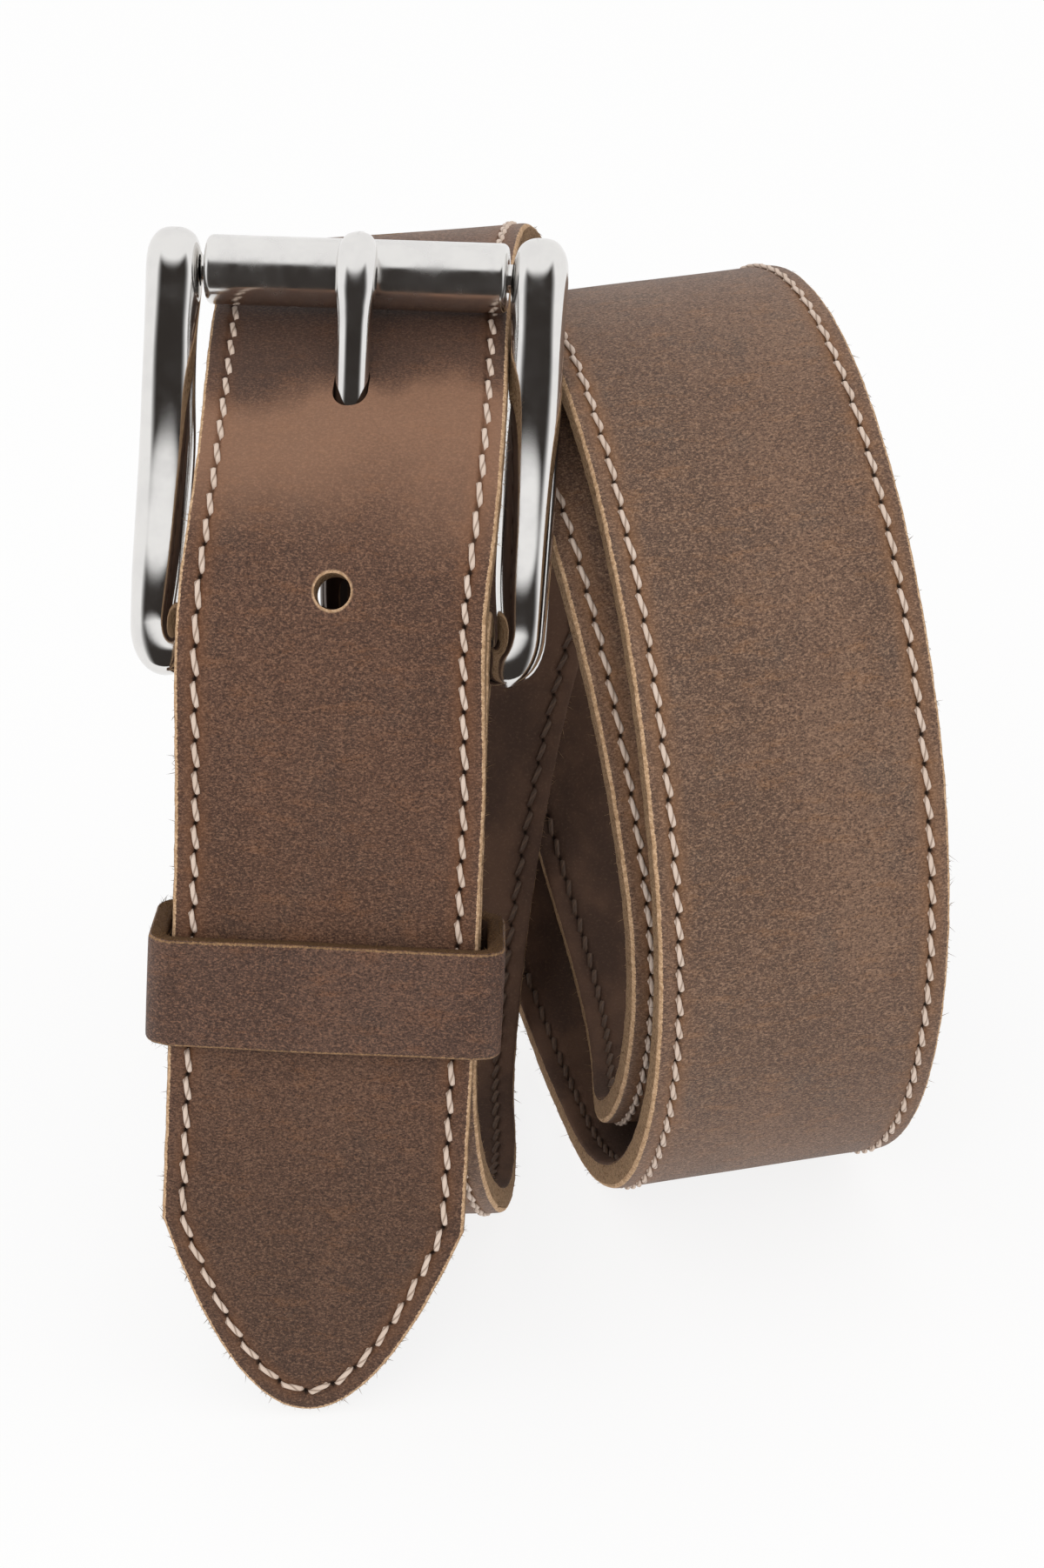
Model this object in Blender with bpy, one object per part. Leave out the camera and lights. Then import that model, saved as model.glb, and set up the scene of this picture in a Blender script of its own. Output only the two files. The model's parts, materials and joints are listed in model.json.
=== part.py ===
"""Leather belt with a heavy roller buckle, done up and stood on its edge-wise coil.

The strap is one length of leather.  It is folded round the buckle's heel bar, runs three
turns round a coil, passes under the roller, over the heel bar and through the keeper, and
ends in a point.  The frame is metres, +Z up, with the table at z = 0, the origin under the
middle of the coil, and the buckle facing -Y.
"""

import math

import bmesh
import bpy
from mathutils import Matrix, Vector

MM = 0.001

# Strap
STRAP_WIDTH = 40.0 * MM
STRAP_THICK = 3.9 * MM
TIP_LENGTH = 26.0 * MM
GAP = 0.3 * MM

# Edge stitching: a channel in the grain side and a cord on the flesh side
STITCH_INSET = 2.7 * MM
CHANNEL_WIDTH = 1.4 * MM
CHANNEL_DEPTH = 1.0 * MM
THREAD_WIDTH = 0.6 * MM
THREAD_THICK = 0.45 * MM
BOBBIN_THICK = 0.4 * MM
STITCH_START = 14.0 * MM          # below the heel bar

# Punched holes, measured from the point
FIRST_HOLE = 111.0 * MM
HOLE_PITCH = 25.4 * MM
HOLE_COUNT = 5
HOLE_RADIUS = 2.4 * MM
HOLE_IN_USE = 1                   # counted from 0 at the point's end
USED_HOLE_STRETCH = 20.0 * MM     # length the prong draws its hole out to
USED_HOLE_SHIFT = -0.6 * MM
USED_HOLE_RADIUS = 2.8 * MM

# Folded buckle end
HEEL_FROM_TIP = 102.0 * MM
LAYER_GAP = 2.0 * MM              # billet to the strap behind it
RETURN_GAP = 1.1 * MM             # strap to its folded end
RETURN_LENGTH = 62.0 * MM
CLOSE_UP = 16.0 * MM              # run in which the fold closes up behind the bar
SIDE_SHIFT = 0.5 * MM
INNER_LEG = 54.0 * MM             # stretch of strap that lies flat behind the billet
SCREW_DROPS = (18.0 * MM, 29.0 * MM)
FOLD_SLOT_WIDTH = 7.6 * MM
FOLD_SLOT_RUN = (-8.0 * MM, 5.6 * MM)

# Buckle
BAR_RADIUS = 2.4 * MM
FOLD_SLACK = 0.5 * MM             # fold of leather round the heel bar
BUCKLE_LENGTH = 52.0 * MM         # heel bar to roller
BUCKLE_RISE = 33.7                # degrees the frame leans back
BUCKLE_LEAN = -5.5                # degrees it leans sideways
ARM_CENTRE = 24.5 * MM
ARM_WIDTH = 6.6 * MM
HEAD_WIDTH = 7.4 * MM
ARM_HEIGHT = 6.4 * MM
HEAD_OVERHANG = 5.4 * MM
PIN_RADIUS = 1.9 * MM
ROLLER_RADIUS = 4.65 * MM
ROLLER_BORE = 2.2 * MM
ROLLER_LENGTH = 40.8 * MM
ROLLER_CHAMFER = 0.5 * MM
PRONG_EYE_RADIUS = 4.4 * MM
PRONG_EYE_WIDTH = 5.0 * MM

# Frame sections from the head to the heel corner: along, out, width, height (millimetres)
ARM_SHAPE = (
    (50, 0.9, 7.4, 7.4),
    (43, 0.5, 6.9, 6.6),
    (34, -0.5, 6.7, 6.0),
    (22, -0.7, 7.2, 6.0),
    (11, -0.2, 7.1, 6.4),
)
HEAD_HEIGHT = 7.6 * MM
HEAD_RISE = 0.9 * MM
CAP_LENGTH = 3.6 * MM
FRAME_CORNER = 4.2 * MM
SECTION_POWER = 0.8

# Prong sections from its eye to its end: along, out, width, height (millimetres)
PRONG_SHAPE = (
    (3.1, 0.3, 4.2, 3.8),
    (14, 2.0, 4.5, 4.2),
    (32, 4.7, 4.5, 4.3),
    (43, 6.7, 4.5, 4.4),
    (47.5, 7.5, 5.3, 4.6),
    (51.5, 7.6, 5.3, 4.6),
    (54.2, 7.0, 4.8, 4.2),
    (55.8, 6.4, 3.2, 2.8),
)
PRONG_SIDE = 0.7 * MM

# Keeper
SIDE_SLACK = 0.7 * MM
KEEPER_FROM_TIP = 58.0 * MM
KEEPER_HEIGHT = 14.5 * MM
KEEPER_THICK = 2.4 * MM
KEEPER_SLACK = 0.8 * MM
KEEPER_CORNER = 1.5 * MM
STAPLE_WIRE = 0.8 * MM
STAPLE_SPAN = 8.0 * MM

# Two-part screws through the fold
SCREW_HEAD_RADIUS = 4.2 * MM
SCREW_HEAD_THICK = 1.0 * MM
POST_RADIUS = 2.2 * MM
POST_BORE = 1.6 * MM
POST_FLOOR = 0.6 * MM
SHANK_SHORT = 0.8 * MM            # space left under the end of the shank
SHANK_RADIUS = 1.3 * MM
HEAD_CLEARANCE = 0.6 * MM         # the strap curves under the flat heads

# The places the strap's middle line passes through: x, y, z in millimetres, then the way
# the grain side faces (yaw from -Y, rise above level) and the sideways lean, in degrees.
ON_TABLE = STRAP_THICK / 2 / MM
COIL = (
    ("first_bottom", -23.5, -3, ON_TABLE, -3, -90, -3),
    ("first_back", -8.5, 45.5, 64.5, 3, 184.5, 17),
    ("first_top", 15, 8, 117, 9, 94, 8),
    ("inner_front", 32, -41, 65, 14, 5, 4),
    ("inner_bottom", 28.5, -4.5, 8.7, 3, -90, 4.5),
    ("inner_back", 14, 63.5, 67, 9.5, 182, -2.5),
    ("inner_top", 22, 13, 125, 14, 100, -2),
    ("outer_front", 36, -53, 69, 12, 8, 0),
    ("outer_bottom", 23.5, 1, ON_TABLE, 12, -90, 1),
    ("outer_back", -2, 68, 70, 4, 177, -12),
    ("outer_top", -18, -7, 132, 0, 75, -3),
)
BILLET = (
    ("buckle", -22.5, -44, 110, -5, 35.5, -7.5),
    ("above_keeper", -25, -54, 81, 0, 8, -5),
    ("point", -33, -72, 0.5, -2, 12, -5),
)
REST_RUN = 8.0 * MM               # flat length where a turn stands on the table
STEPS = 24
# These bring the middle of the whole coil over the origin.
CENTRE_X = -2.526
CENTRE_Y = 1.359
TURN_RADIUS = BAR_RADIUS + FOLD_SLACK + STRAP_THICK / 2
CUT_PITCH = 8.5 * MM
EPS = 1e-6

# Where the cross-sections fall in the point, measured from its end
ISLAND_END = 3.6 * MM
CHANNEL_END = 2.4 * MM
NOSE_STITCH = 2.4 * MM
TIP_CUTS = [d * MM for d in (26, 20, 15, 11, 7.8, 5.4)] + [ISLAND_END, CHANNEL_END, 1.1 * MM, 0.3 * MM]


class Row:
    """A cross-section of the strap: its middle, the way it runs, its width and its grain side."""

    def __init__(self, middle, along, across):
        self.middle = middle
        self.along = along.normalized()
        self.across = (across - across.dot(self.along) * self.along).normalized()
        self.grain = self.along.cross(self.across)

    def at(self, x, h):
        return self.middle + x * self.across + h * self.grain

    def moved(self, x, h):
        return Row(self.at(x, h), self.along, self.across)


def station(x, y, z, yaw, rise, lean):
    rise, lean = math.radians(rise), math.radians(lean)
    down = Vector((0, -math.sin(rise), -math.cos(rise)))
    side = Vector((1, 0, 0))
    along = math.cos(lean) * down + math.sin(lean) * side
    across = math.cos(lean) * side - math.sin(lean) * down
    turn = Matrix.Rotation(math.radians(yaw), 3, "Z")
    middle = Vector((x + CENTRE_X, y + CENTRE_Y, z)) * MM
    return Row(middle, turn @ along, turn @ across)


def leg(start, end, steps=STEPS):
    """Rows along a smooth bend that leaves start and arrives at end the way they run."""
    chord = end.middle - start.middle
    bend = min(start.along.angle(end.along), math.radians(150))
    reach = 1 / (3 * math.cos(bend / 4) ** 2 * max(math.cos(bend / 2), 0.25))
    a = start.middle
    b = a + start.along * max(chord.dot(start.along), 2 * MM) * reach
    d = end.middle
    c = d - end.along * max(chord.dot(end.along), 2 * MM) * reach
    rows = []
    for i in range(steps + 1):
        t = i / steps
        u = 1 - t
        middle = u**3 * a + 3 * u * u * t * b + 3 * u * t * t * c + t**3 * d
        along = u * u * (b - a) + 2 * u * t * (c - b) + t * t * (d - c)
        ease = t * t * (3 - 2 * t)
        rows.append(Row(middle, along, start.across.lerp(end.across, ease)))
    return rows


def coil_stations():
    """The coil's stations, with a straight run wherever a turn stands on the table."""
    rows = []
    for _, *place in COIL:
        row = station(*place)
        run = REST_RUN / 2 if place[2] == ON_TABLE else 0
        if run:
            rows += [Row(row.middle + d * row.along, row.along, row.across) for d in (-run, run)]
        else:
            rows.append(row)
    return rows


def chain(stations):
    rows = [stations[0]]
    for start, end in zip(stations, stations[1:]):
        rows += leg(start, end)[1:]
    return rows


class Path:
    """Rows joined into one length that can be asked for any distance along it."""

    def __init__(self, rows):
        self.rows = rows
        self.marks = [0.0]
        for a, b in zip(rows, rows[1:]):
            self.marks.append(self.marks[-1] + (b.middle - a.middle).length)
        self.length = self.marks[-1]

    def row(self, distance):
        distance = min(max(distance, 0.0), self.length)
        last = len(self.rows) - 2
        i = next((k for k in range(last + 1) if self.marks[k + 1] >= distance), last)
        t = (distance - self.marks[i]) / (self.marks[i + 1] - self.marks[i])
        a, b = self.rows[i], self.rows[i + 1]
        return Row(
            a.middle.lerp(b.middle, t), a.along.lerp(b.along, t), a.across.lerp(b.across, t)
        )


def fold_rows(billet):
    """The stretch of strap behind the billet, the heel bar's centre, and the turn round it."""
    main = []
    for i in range(13):
        drop = INNER_LEG * i / 12
        row = billet.row(billet.length - HEEL_FROM_TIP + drop)
        main.append(row.moved(SIDE_SHIFT * drop / INNER_LEG, -STRAP_THICK - LAYER_GAP))
    top = main[0]
    bar = top.at(0, -TURN_RADIUS)
    turn = []
    for i in range(1, 10):
        angle = math.pi * i / 10
        out = -math.cos(angle) * top.grain - math.sin(angle) * top.along
        run = math.sin(angle) * top.grain - math.cos(angle) * top.along
        turn.append(Row(bar + TURN_RADIUS * out, run, top.across))
    return main, bar, turn


def return_rows(below):
    """The folded end, listed from its cut end up to the heel bar."""
    near = STRAP_THICK + RETURN_GAP
    rows = []
    for i in range(14):
        drop = RETURN_LENGTH * (13 - i) / 13
        t = min(drop / CLOSE_UP, 1)
        away = 2 * TURN_RADIUS + (near - 2 * TURN_RADIUS) * t * t * (3 - 2 * t)
        row = below.row(drop)
        rows.append(Row(row.at(0, -away), -row.along, row.across))
    return rows


class Strap:
    """The whole strap's path, with the places that the other pieces are set out from."""

    def __init__(self):
        coil = coil_stations()
        end = chain(coil[-1:] + [station(*place[1:]) for place in BILLET])
        main, self.bar, turn = fold_rows(Path(end))
        turns = chain([main[-1]] + coil)
        self.below = Path(main + turns[1:])
        folded = return_rows(self.below)
        self.path = Path(folded + turn + main + turns[1:] + end[1:])
        self.length = self.path.length
        self.turn_from = self.path.marks[len(folded) - 1]
        self.heel = self.path.marks[len(folded) + len(turn)]
        self.rests = self.rest_marks()

    def rest_marks(self):
        """Where the straight runs on the table start and end."""
        marks = self.path.marks
        flat = [abs(row.middle.z - STRAP_THICK / 2) < EPS for row in self.path.rows]
        steps = zip(marks, marks[1:], flat, flat[1:])
        return [start if here else end for start, end, here, there in steps if here != there]

    def row(self, distance):
        return self.path.row(distance)

    def from_tip(self, distance):
        return self.path.row(self.length - distance)

    def cuts(self):
        """Distances of the cross-sections that the strap's mesh is built on."""
        marks = [self.turn_from * i / 9 for i in range(9)]
        marks += [self.turn_from + (self.heel - self.turn_from) * i / 10 for i in range(10)]
        stitched = self.heel + STITCH_START
        marks += [self.heel, self.heel + STITCH_START / 2]
        stops = [stitched, *self.rests, self.length - TIP_LENGTH]
        for start, end in zip(stops, stops[1:]):
            count = round((end - start) / CUT_PITCH)
            marks += [start + (end - start) * i / count for i in range(count)]
        marks += [self.length - d for d in TIP_CUTS]
        return marks


def edge_line(inset):
    """Points (distance from the tip, half width) of the outline moved in by inset."""
    half = STRAP_WIDTH / 2
    points = []
    for i in range(61):
        x = half * i / 60
        slope = 2 * TIP_LENGTH * x / half**2
        scale = math.hypot(slope, 1)
        points.append((TIP_LENGTH * (x / half) ** 2 + inset / scale, x - inset * slope / scale))
    return [p for p in points if p[1] >= 0]


def half_width(from_tip, inset=0.0):
    """Half the strap's width, or the distance of a line that runs inset from its edge."""
    line = edge_line(inset)
    if from_tip >= line[-1][0]:
        return STRAP_WIDTH / 2 - inset
    for (d0, x0), (d1, x1) in zip(line, line[1:]):
        if d0 <= from_tip <= d1:
            return x0 + (x1 - x0) * (from_tip - d0) / (d1 - d0)
    return 0.0


def new_object(name, mesh_data, colour, roughness, metallic):
    mesh = bpy.data.meshes.new(name)
    bmesh.ops.recalc_face_normals(mesh_data, faces=mesh_data.faces)
    mesh_data.to_mesh(mesh)
    mesh_data.free()
    obj = bpy.data.objects.new(name, mesh)
    bpy.context.scene.collection.objects.link(obj)
    material = bpy.data.materials.new(name)
    material.use_nodes = True
    shader = material.node_tree.nodes["Principled BSDF"]
    shader.inputs["Base Color"].default_value = (*colour, 1)
    shader.inputs["Roughness"].default_value = roughness
    shader.inputs["Metallic"].default_value = metallic
    mesh.materials.append(material)
    return obj


LEATHER = ((0.075, 0.042, 0.028), 0.6, 0.0)
THREAD = ((0.45, 0.34, 0.27), 0.7, 0.0)
STEEL = ((0.62, 0.61, 0.59), 0.15, 1.0)


def strip(data, a, b):
    data.faces.new((a[0], a[1], b[1], b[0]))


def strap_mesh(strap):
    """A flat section swept along the path, with the stitching channel let into its grain side."""
    data = bmesh.new()
    top, low = STRAP_THICK / 2, STRAP_THICK / 2 - CHANNEL_DEPTH
    outer = STITCH_INSET - CHANNEL_WIDTH / 2
    inner = STITCH_INSET + CHANNEL_WIDTH / 2
    first = strap.heel + STITCH_START
    island_end = strap.length - ISLAND_END
    channel_end = strap.length - CHANNEL_END
    rows = []
    for mark in strap.cuts():
        row = strap.row(mark)
        left = strap.length - mark
        edge = half_width(left)
        points = {"e": (edge, top), "f": (edge, -top)}
        if first - EPS <= mark <= channel_end + EPS:
            far = half_width(left, outer)
            near = half_width(left, inner) if mark <= island_end + EPS else far / 2
            points.update(c=(far, top), cb=(far, low), ib=(near, low))
            if mark <= island_end + EPS:
                points["i"] = (near, top)
        verts = {}
        for key, (x, h) in points.items():
            verts[key + "L"] = data.verts.new(row.at(-x, h))
            verts[key + "R"] = data.verts.new(row.at(x, h))
        rows.append((mark, verts))
    channel = ["eL", "cL", "cbL", "ibL", "iL", "iR", "ibR", "cbR", "cR", "eR"]
    nose = [key for key in channel if key not in ("iL", "iR")]
    grain = [key for key in channel if "b" not in key]
    for (mark, a), (_, b) in zip(rows, rows[1:]):
        if mark < first - EPS or mark > channel_end - EPS:
            here = [a[key] for key in grain if key in a]
            there = [b[key] for key in grain if key in b]
            data.faces.new(here + there[::-1])
            loop = []
        else:
            loop = channel if mark < island_end - EPS else nose
        for p, q in zip(loop, loop[1:]):
            strip(data, (a[p], a[q]), (b[p], b[q]))
        for p, q in (("eR", "fR"), ("fR", "fL"), ("fL", "eL")):
            strip(data, (a[p], a[q]), (b[p], b[q]))
        if abs(mark - first) < EPS:
            data.faces.new([a[key] for key in ("cL", "cbL", "ibL", "iL")])
            data.faces.new([a[key] for key in ("cR", "cbR", "ibR", "iR")])
        if abs(mark - island_end) < EPS:
            data.faces.new([a[key] for key in ("iL", "ibL", "ibR", "iR")])
        if abs(mark - channel_end) < EPS:
            data.faces.new([a[key] for key in ("cL", "cbL", "ibL", "ibR", "cbR", "cR")])
    for _, verts in (rows[0], rows[-1]):
        data.faces.new([verts[key] for key in ("eL", "eR", "fR", "fL")])
    bmesh.ops.triangulate(data, faces=data.faces)
    return data


def thread_mesh(strap, low, high):
    """A cord laid along both edges and round the point, between two heights in the section."""
    inset = STITCH_INSET
    side = []
    for mark in strap.cuts():
        left = strap.length - mark
        if mark >= strap.heel + STITCH_START + CUT_PITCH / 2 and left > ISLAND_END + EPS:
            side.append((mark, half_width(left, inset)))
    nose = (strap.length - (ISLAND_END + CHANNEL_END) / 2, NOSE_STITCH / 2)
    right = side + [nose]
    line = [Vector((s, -x)) for s, x in right] + [Vector((s, x)) for s, x in reversed(right)]
    data = bmesh.new()
    rings = []
    for i, point in enumerate(line):
        before = (point - line[i - 1]).normalized() if i else None
        after = (line[i + 1] - point).normalized() if i + 1 < len(line) else None
        run = ((before or after) + (after or before)).normalized()
        spread = THREAD_WIDTH / 2 / max((after or before).dot(run), 0.5)
        aside = Vector((-run.y, run.x)) * spread
        a, b = point + aside, point - aside
        corners = ((a, high), (b, high), (b, low), (a, low))
        rings.append([data.verts.new(strap.row(p.x).at(p.y, h)) for p, h in corners])
    for a, b in zip(rings, rings[1:]):
        for k in range(4):
            strip(data, (a[k], a[(k + 1) % 4]), (b[k], b[(k + 1) % 4]))
    data.faces.new(rings[0])
    data.faces.new(rings[-1])
    bmesh.ops.triangulate(data, faces=data.faces)
    return data


def prism(rings):
    """A closed solid through rings of equal count, capped at both ends."""
    data = bmesh.new()
    made = [[data.verts.new(p) for p in ring] for ring in rings]
    for a, b in zip(made, made[1:]):
        for k in range(len(a)):
            n = (k + 1) % len(a)
            strip(data, (a[k], a[n]), (b[k], b[n]))
    data.faces.new(made[0])
    data.faces.new(made[-1])
    return data


def disc(centre, axis, side, radius, count=16, stretch=0.0):
    """A ring of points round axis, drawn out along side by stretch for a slot."""
    axis = axis.normalized()
    side = (side - side.dot(axis) * axis).normalized()
    other = axis.cross(side)
    points = []
    for i in range(count):
        angle = 2 * math.pi * (i + 0.5) / count
        shift = math.copysign(stretch / 2, math.cos(angle))
        x = radius * math.cos(angle) + shift
        points.append(centre + x * side + radius * math.sin(angle) * other)
    return points


def cylinder(a, b, side, radius, count=16, stretch=0.0):
    axis = b - a
    return prism([disc(p, axis, side, radius, count, stretch) for p in (a, b)])


def helper(name, data):
    obj = new_object(name, data, (1, 0, 0), 0.5, 0)
    obj.hide_render = True
    obj.display_type = "WIRE"
    return obj


def combine(obj, other, operation):
    modifier = obj.modifiers.new(other.name, "BOOLEAN")
    modifier.operation = operation
    modifier.solver = "EXACT"
    modifier.object = other


def box_about(row, centre, across, along, grain):
    """A box on a row's directions; each size is a (low, high) pair."""
    rings = []
    for a in along:
        base = centre + a * row.along
        corners = ((0, 0), (1, 0), (1, 1), (0, 1))
        rings.append([base + across[i] * row.across + grain[j] * row.grain for i, j in corners])
    return prism(rings)


def build_strap(strap):
    obj = new_object("strap", strap_mesh(strap), *LEATHER)
    deep = STRAP_THICK / 2 + 0.8 * MM
    for i in range(HOLE_COUNT):
        row = strap.from_tip(FIRST_HOLE + HOLE_PITCH * i)
        radius, stretch, middle = HOLE_RADIUS, 0.0, row.middle
        if i == HOLE_IN_USE:
            radius, stretch = USED_HOLE_RADIUS, USED_HOLE_STRETCH - 2 * USED_HOLE_RADIUS
            middle = row.middle + USED_HOLE_SHIFT * row.along
        ends = (middle - deep * row.grain, middle + deep * row.grain)
        punch = cylinder(*ends, row.along, radius, 16, stretch)
        combine(obj, helper(f"punch_{i}", punch), "DIFFERENCE")
    top = strap.row(strap.heel)
    half = FOLD_SLOT_WIDTH / 2
    slot = box_about(top, strap.bar, (-half, half), FOLD_SLOT_RUN, (-7.6 * MM, 7.6 * MM))
    combine(obj, helper("fold_slot", slot), "DIFFERENCE")
    for i, drop in enumerate(SCREW_DROPS):
        row = strap.below.row(drop)
        inner = row.at(0, -STRAP_THICK * 1.5 - RETURN_GAP - 1 * MM)
        outer = row.at(0, STRAP_THICK / 2 + 1 * MM)
        drill = cylinder(inner, outer, row.across, POST_RADIUS + GAP)
        combine(obj, helper(f"screw_hole_{i}", drill), "DIFFERENCE")
    return obj


class Buckle:
    def __init__(self, strap):
        facing = station(0, 0, 0, 0, BUCKLE_RISE, BUCKLE_LEAN)
        seat = Row(strap.bar, facing.along, strap.row(strap.heel).across)
        self.origin = strap.bar
        self.across = seat.across
        self.up = -seat.along
        self.out = seat.grain

    def at(self, x, a, b):
        return self.origin + x * self.across + a * self.up + b * self.out


def ring_about(centre, side, other, width, height, count=12):
    """A soft-cornered section: rounder than a square, squarer than an ellipse."""
    points = []
    for i in range(count):
        angle = 2 * math.pi * (i + 0.5) / count
        c, s = math.cos(angle), math.sin(angle)
        c = math.copysign(abs(c) ** SECTION_POWER, c)
        s = math.copysign(abs(s) ** SECTION_POWER, s)
        points.append(centre + width / 2 * c * side + height / 2 * s * other)
    return points


def frame_rings(buckle):
    """Sections from one head down its arm, along the heel bar and up the other arm."""
    half = []
    reach = BUCKLE_LENGTH + HEAD_OVERHANG
    for i in range(4):
        angle = math.pi / 2 * (3.7 - i) / 4
        size = math.cos(angle)
        a = reach - CAP_LENGTH * (1 - math.sin(angle))
        half.append((ARM_CENTRE, a, HEAD_RISE, HEAD_WIDTH * size, HEAD_HEIGHT * size, 0.0))
    for a, b, width, height in ARM_SHAPE:
        half.append((ARM_CENTRE, a * MM, b * MM, width * MM, height * MM, 0.0))
    for i in range(5):
        t = i / 4
        turn = math.pi / 2 * t
        x = ARM_CENTRE - FRAME_CORNER * (1 - math.cos(turn))
        a = FRAME_CORNER * (1 - math.sin(turn))
        width = ARM_WIDTH + (2 * BAR_RADIUS - ARM_WIDTH) * t
        height = ARM_HEIGHT + (2 * BAR_RADIUS - ARM_HEIGHT) * t
        half.append((x, a, 0.0, width, height, turn))
    rings = []
    for hand, part in ((1, half), (-1, half[::-1])):
        for x, a, b, width, height, turn in part:
            side = hand * math.cos(turn) * buckle.across - math.sin(turn) * buckle.up
            rings.append(ring_about(buckle.at(hand * x, a, b), side, buckle.out, width, height))
    return rings


def build_frame(buckle):
    obj = new_object("buckle_frame", prism(frame_rings(buckle)), *STEEL)
    ends = [buckle.at(x, BUCKLE_LENGTH, 0) for x in (-ARM_CENTRE, ARM_CENTRE)]
    combine(obj, helper("roller_pin", cylinder(*ends, buckle.out, PIN_RADIUS)), "UNION")
    return place_origin(obj, buckle.origin)


def turned(buckle, centre, profile, count):
    """A closed outline of (across, radius) points spun round an axis that runs across."""
    data = bmesh.new()
    rings = []
    for i in range(count):
        angle = 2 * math.pi * (i + 0.5) / count
        out = math.cos(angle) * buckle.up + math.sin(angle) * buckle.out
        rings.append([data.verts.new(centre + x * buckle.across + r * out) for x, r in profile])
    for a, b in zip(rings, rings[1:] + rings[:1]):
        for k in range(len(profile)):
            n = (k + 1) % len(profile)
            strip(data, (a[k], a[n]), (b[k], b[n]))
    return data


def build_roller(buckle):
    half, round_off = ROLLER_LENGTH / 2, ROLLER_CHAMFER
    side = [
        (half, ROLLER_BORE), (half, ROLLER_RADIUS - round_off), (half - round_off, ROLLER_RADIUS)
    ]
    profile = side + [(-x, r) for x, r in reversed(side)]
    centre = buckle.at(0, BUCKLE_LENGTH, 0)
    obj = new_object("buckle_roller", turned(buckle, centre, profile, 32), *STEEL)
    return place_origin(obj, centre)


def build_prong(buckle):
    rings = []
    for a, b, width, height in PRONG_SHAPE:
        centre = buckle.at(PRONG_SIDE, a * MM, b * MM)
        rings.append(
            ring_about(centre, buckle.across, buckle.out, width * MM, height * MM, 10)
        )
    obj = new_object("buckle_prong", prism(rings), *STEEL)
    half = PRONG_EYE_WIDTH / 2
    bore = BAR_RADIUS + GAP
    profile = [(half, bore), (half, PRONG_EYE_RADIUS), (-half, PRONG_EYE_RADIUS), (-half, bore)]
    eye = turned(buckle, buckle.at(PRONG_SIDE, 0, 0), profile, 20)
    combine(obj, helper("prong_eye", eye), "UNION")
    return place_origin(obj, buckle.origin)


def place_origin(obj, point):
    """Moves the object's origin to a point on its joint's axis, leaving its shape in place."""
    obj.data.transform(Matrix.Translation(-point))
    obj.location = point
    return obj


def rounded_loop(row, centre, sides, corner, along):
    """The corners of a rounded rectangle across the strap at one height of the keeper."""
    (left, right), (low, high) = sides
    points = []
    for k, (x, h) in enumerate(((right, high), (left, high), (left, low), (right, low))):
        cx = x - math.copysign(corner, x)
        ch = high - corner if h == high else low + corner
        for i in range(4):
            angle = math.pi / 2 * (k + i / 3)
            px = cx + corner * math.cos(angle)
            ph = ch + corner * math.sin(angle)
            points.append(centre + along * row.along + px * row.across + ph * row.grain)
    return points


def keeper_row(strap):
    return strap.from_tip(KEEPER_FROM_TIP)


def keeper_sides():
    half = STRAP_WIDTH / 2
    stack = 2 * STRAP_THICK + LAYER_GAP + RETURN_GAP
    across = (-half - SIDE_SLACK, half + SIDE_SHIFT + SIDE_SLACK)
    depth = (-STRAP_THICK / 2 - stack - KEEPER_SLACK, STRAP_THICK / 2 + KEEPER_SLACK)
    return across, depth


def build_keeper(strap):
    row = keeper_row(strap)
    inner = keeper_sides()
    outer = tuple((low - KEEPER_THICK, high + KEEPER_THICK) for low, high in inner)
    data = bmesh.new()
    loops = []
    for along in (-KEEPER_HEIGHT / 2, KEEPER_HEIGHT / 2):
        for sides, corner in ((outer, KEEPER_CORNER + KEEPER_THICK), (inner, KEEPER_CORNER)):
            points = rounded_loop(row, row.middle, sides, corner, along)
            loops.append([data.verts.new(p) for p in points])
    for a, b in ((0, 1), (1, 3), (3, 2), (2, 0)):
        for k in range(len(loops[a])):
            n = (k + 1) % len(loops[a])
            strip(data, (loops[a][k], loops[a][n]), (loops[b][k], loops[b][n]))
    obj = new_object("keeper", data, *LEATHER)
    back = inner[1][0]
    for i, x in enumerate((-STAPLE_SPAN / 2, STAPLE_SPAN / 2)):
        half = STAPLE_WIRE / 2 + GAP
        side = (x - half, x + half)
        hole = box_about(row, row.middle, side, (-half, half), (back - 4 * MM, back + 1 * MM))
        combine(obj, helper(f"staple_hole_{i}", hole), "DIFFERENCE")
    return place_origin(obj, row.middle)


def build_staple(strap):
    """A wire staple across the join in the keeper's back, its crown on the outside."""
    row = keeper_row(strap)
    back = keeper_sides()[1][0]
    crown = back - KEEPER_THICK - GAP - STAPLE_WIRE / 2
    half = STAPLE_SPAN / 2
    line = ((-half, back), (-half, crown), (half, crown), (half, back))
    wire = STAPLE_WIRE / 2
    rings = []
    for i, (x, h) in enumerate(line):
        turn = {0: (1, 0), 1: (1, 1), 2: (-1, 1), 3: (-1, 0)}[i]
        corners = ((-1, -1), (1, -1), (1, 1), (-1, 1))
        ring = []
        for p, q in corners:
            away = Vector((turn[0], turn[1])) * p * wire
            ring.append(row.at(x + away.x, h + away.y) + q * wire * row.along)
        rings.append(ring)
    return place_origin(new_object("keeper_staple", prism(rings), *STEEL), row.middle)


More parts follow.
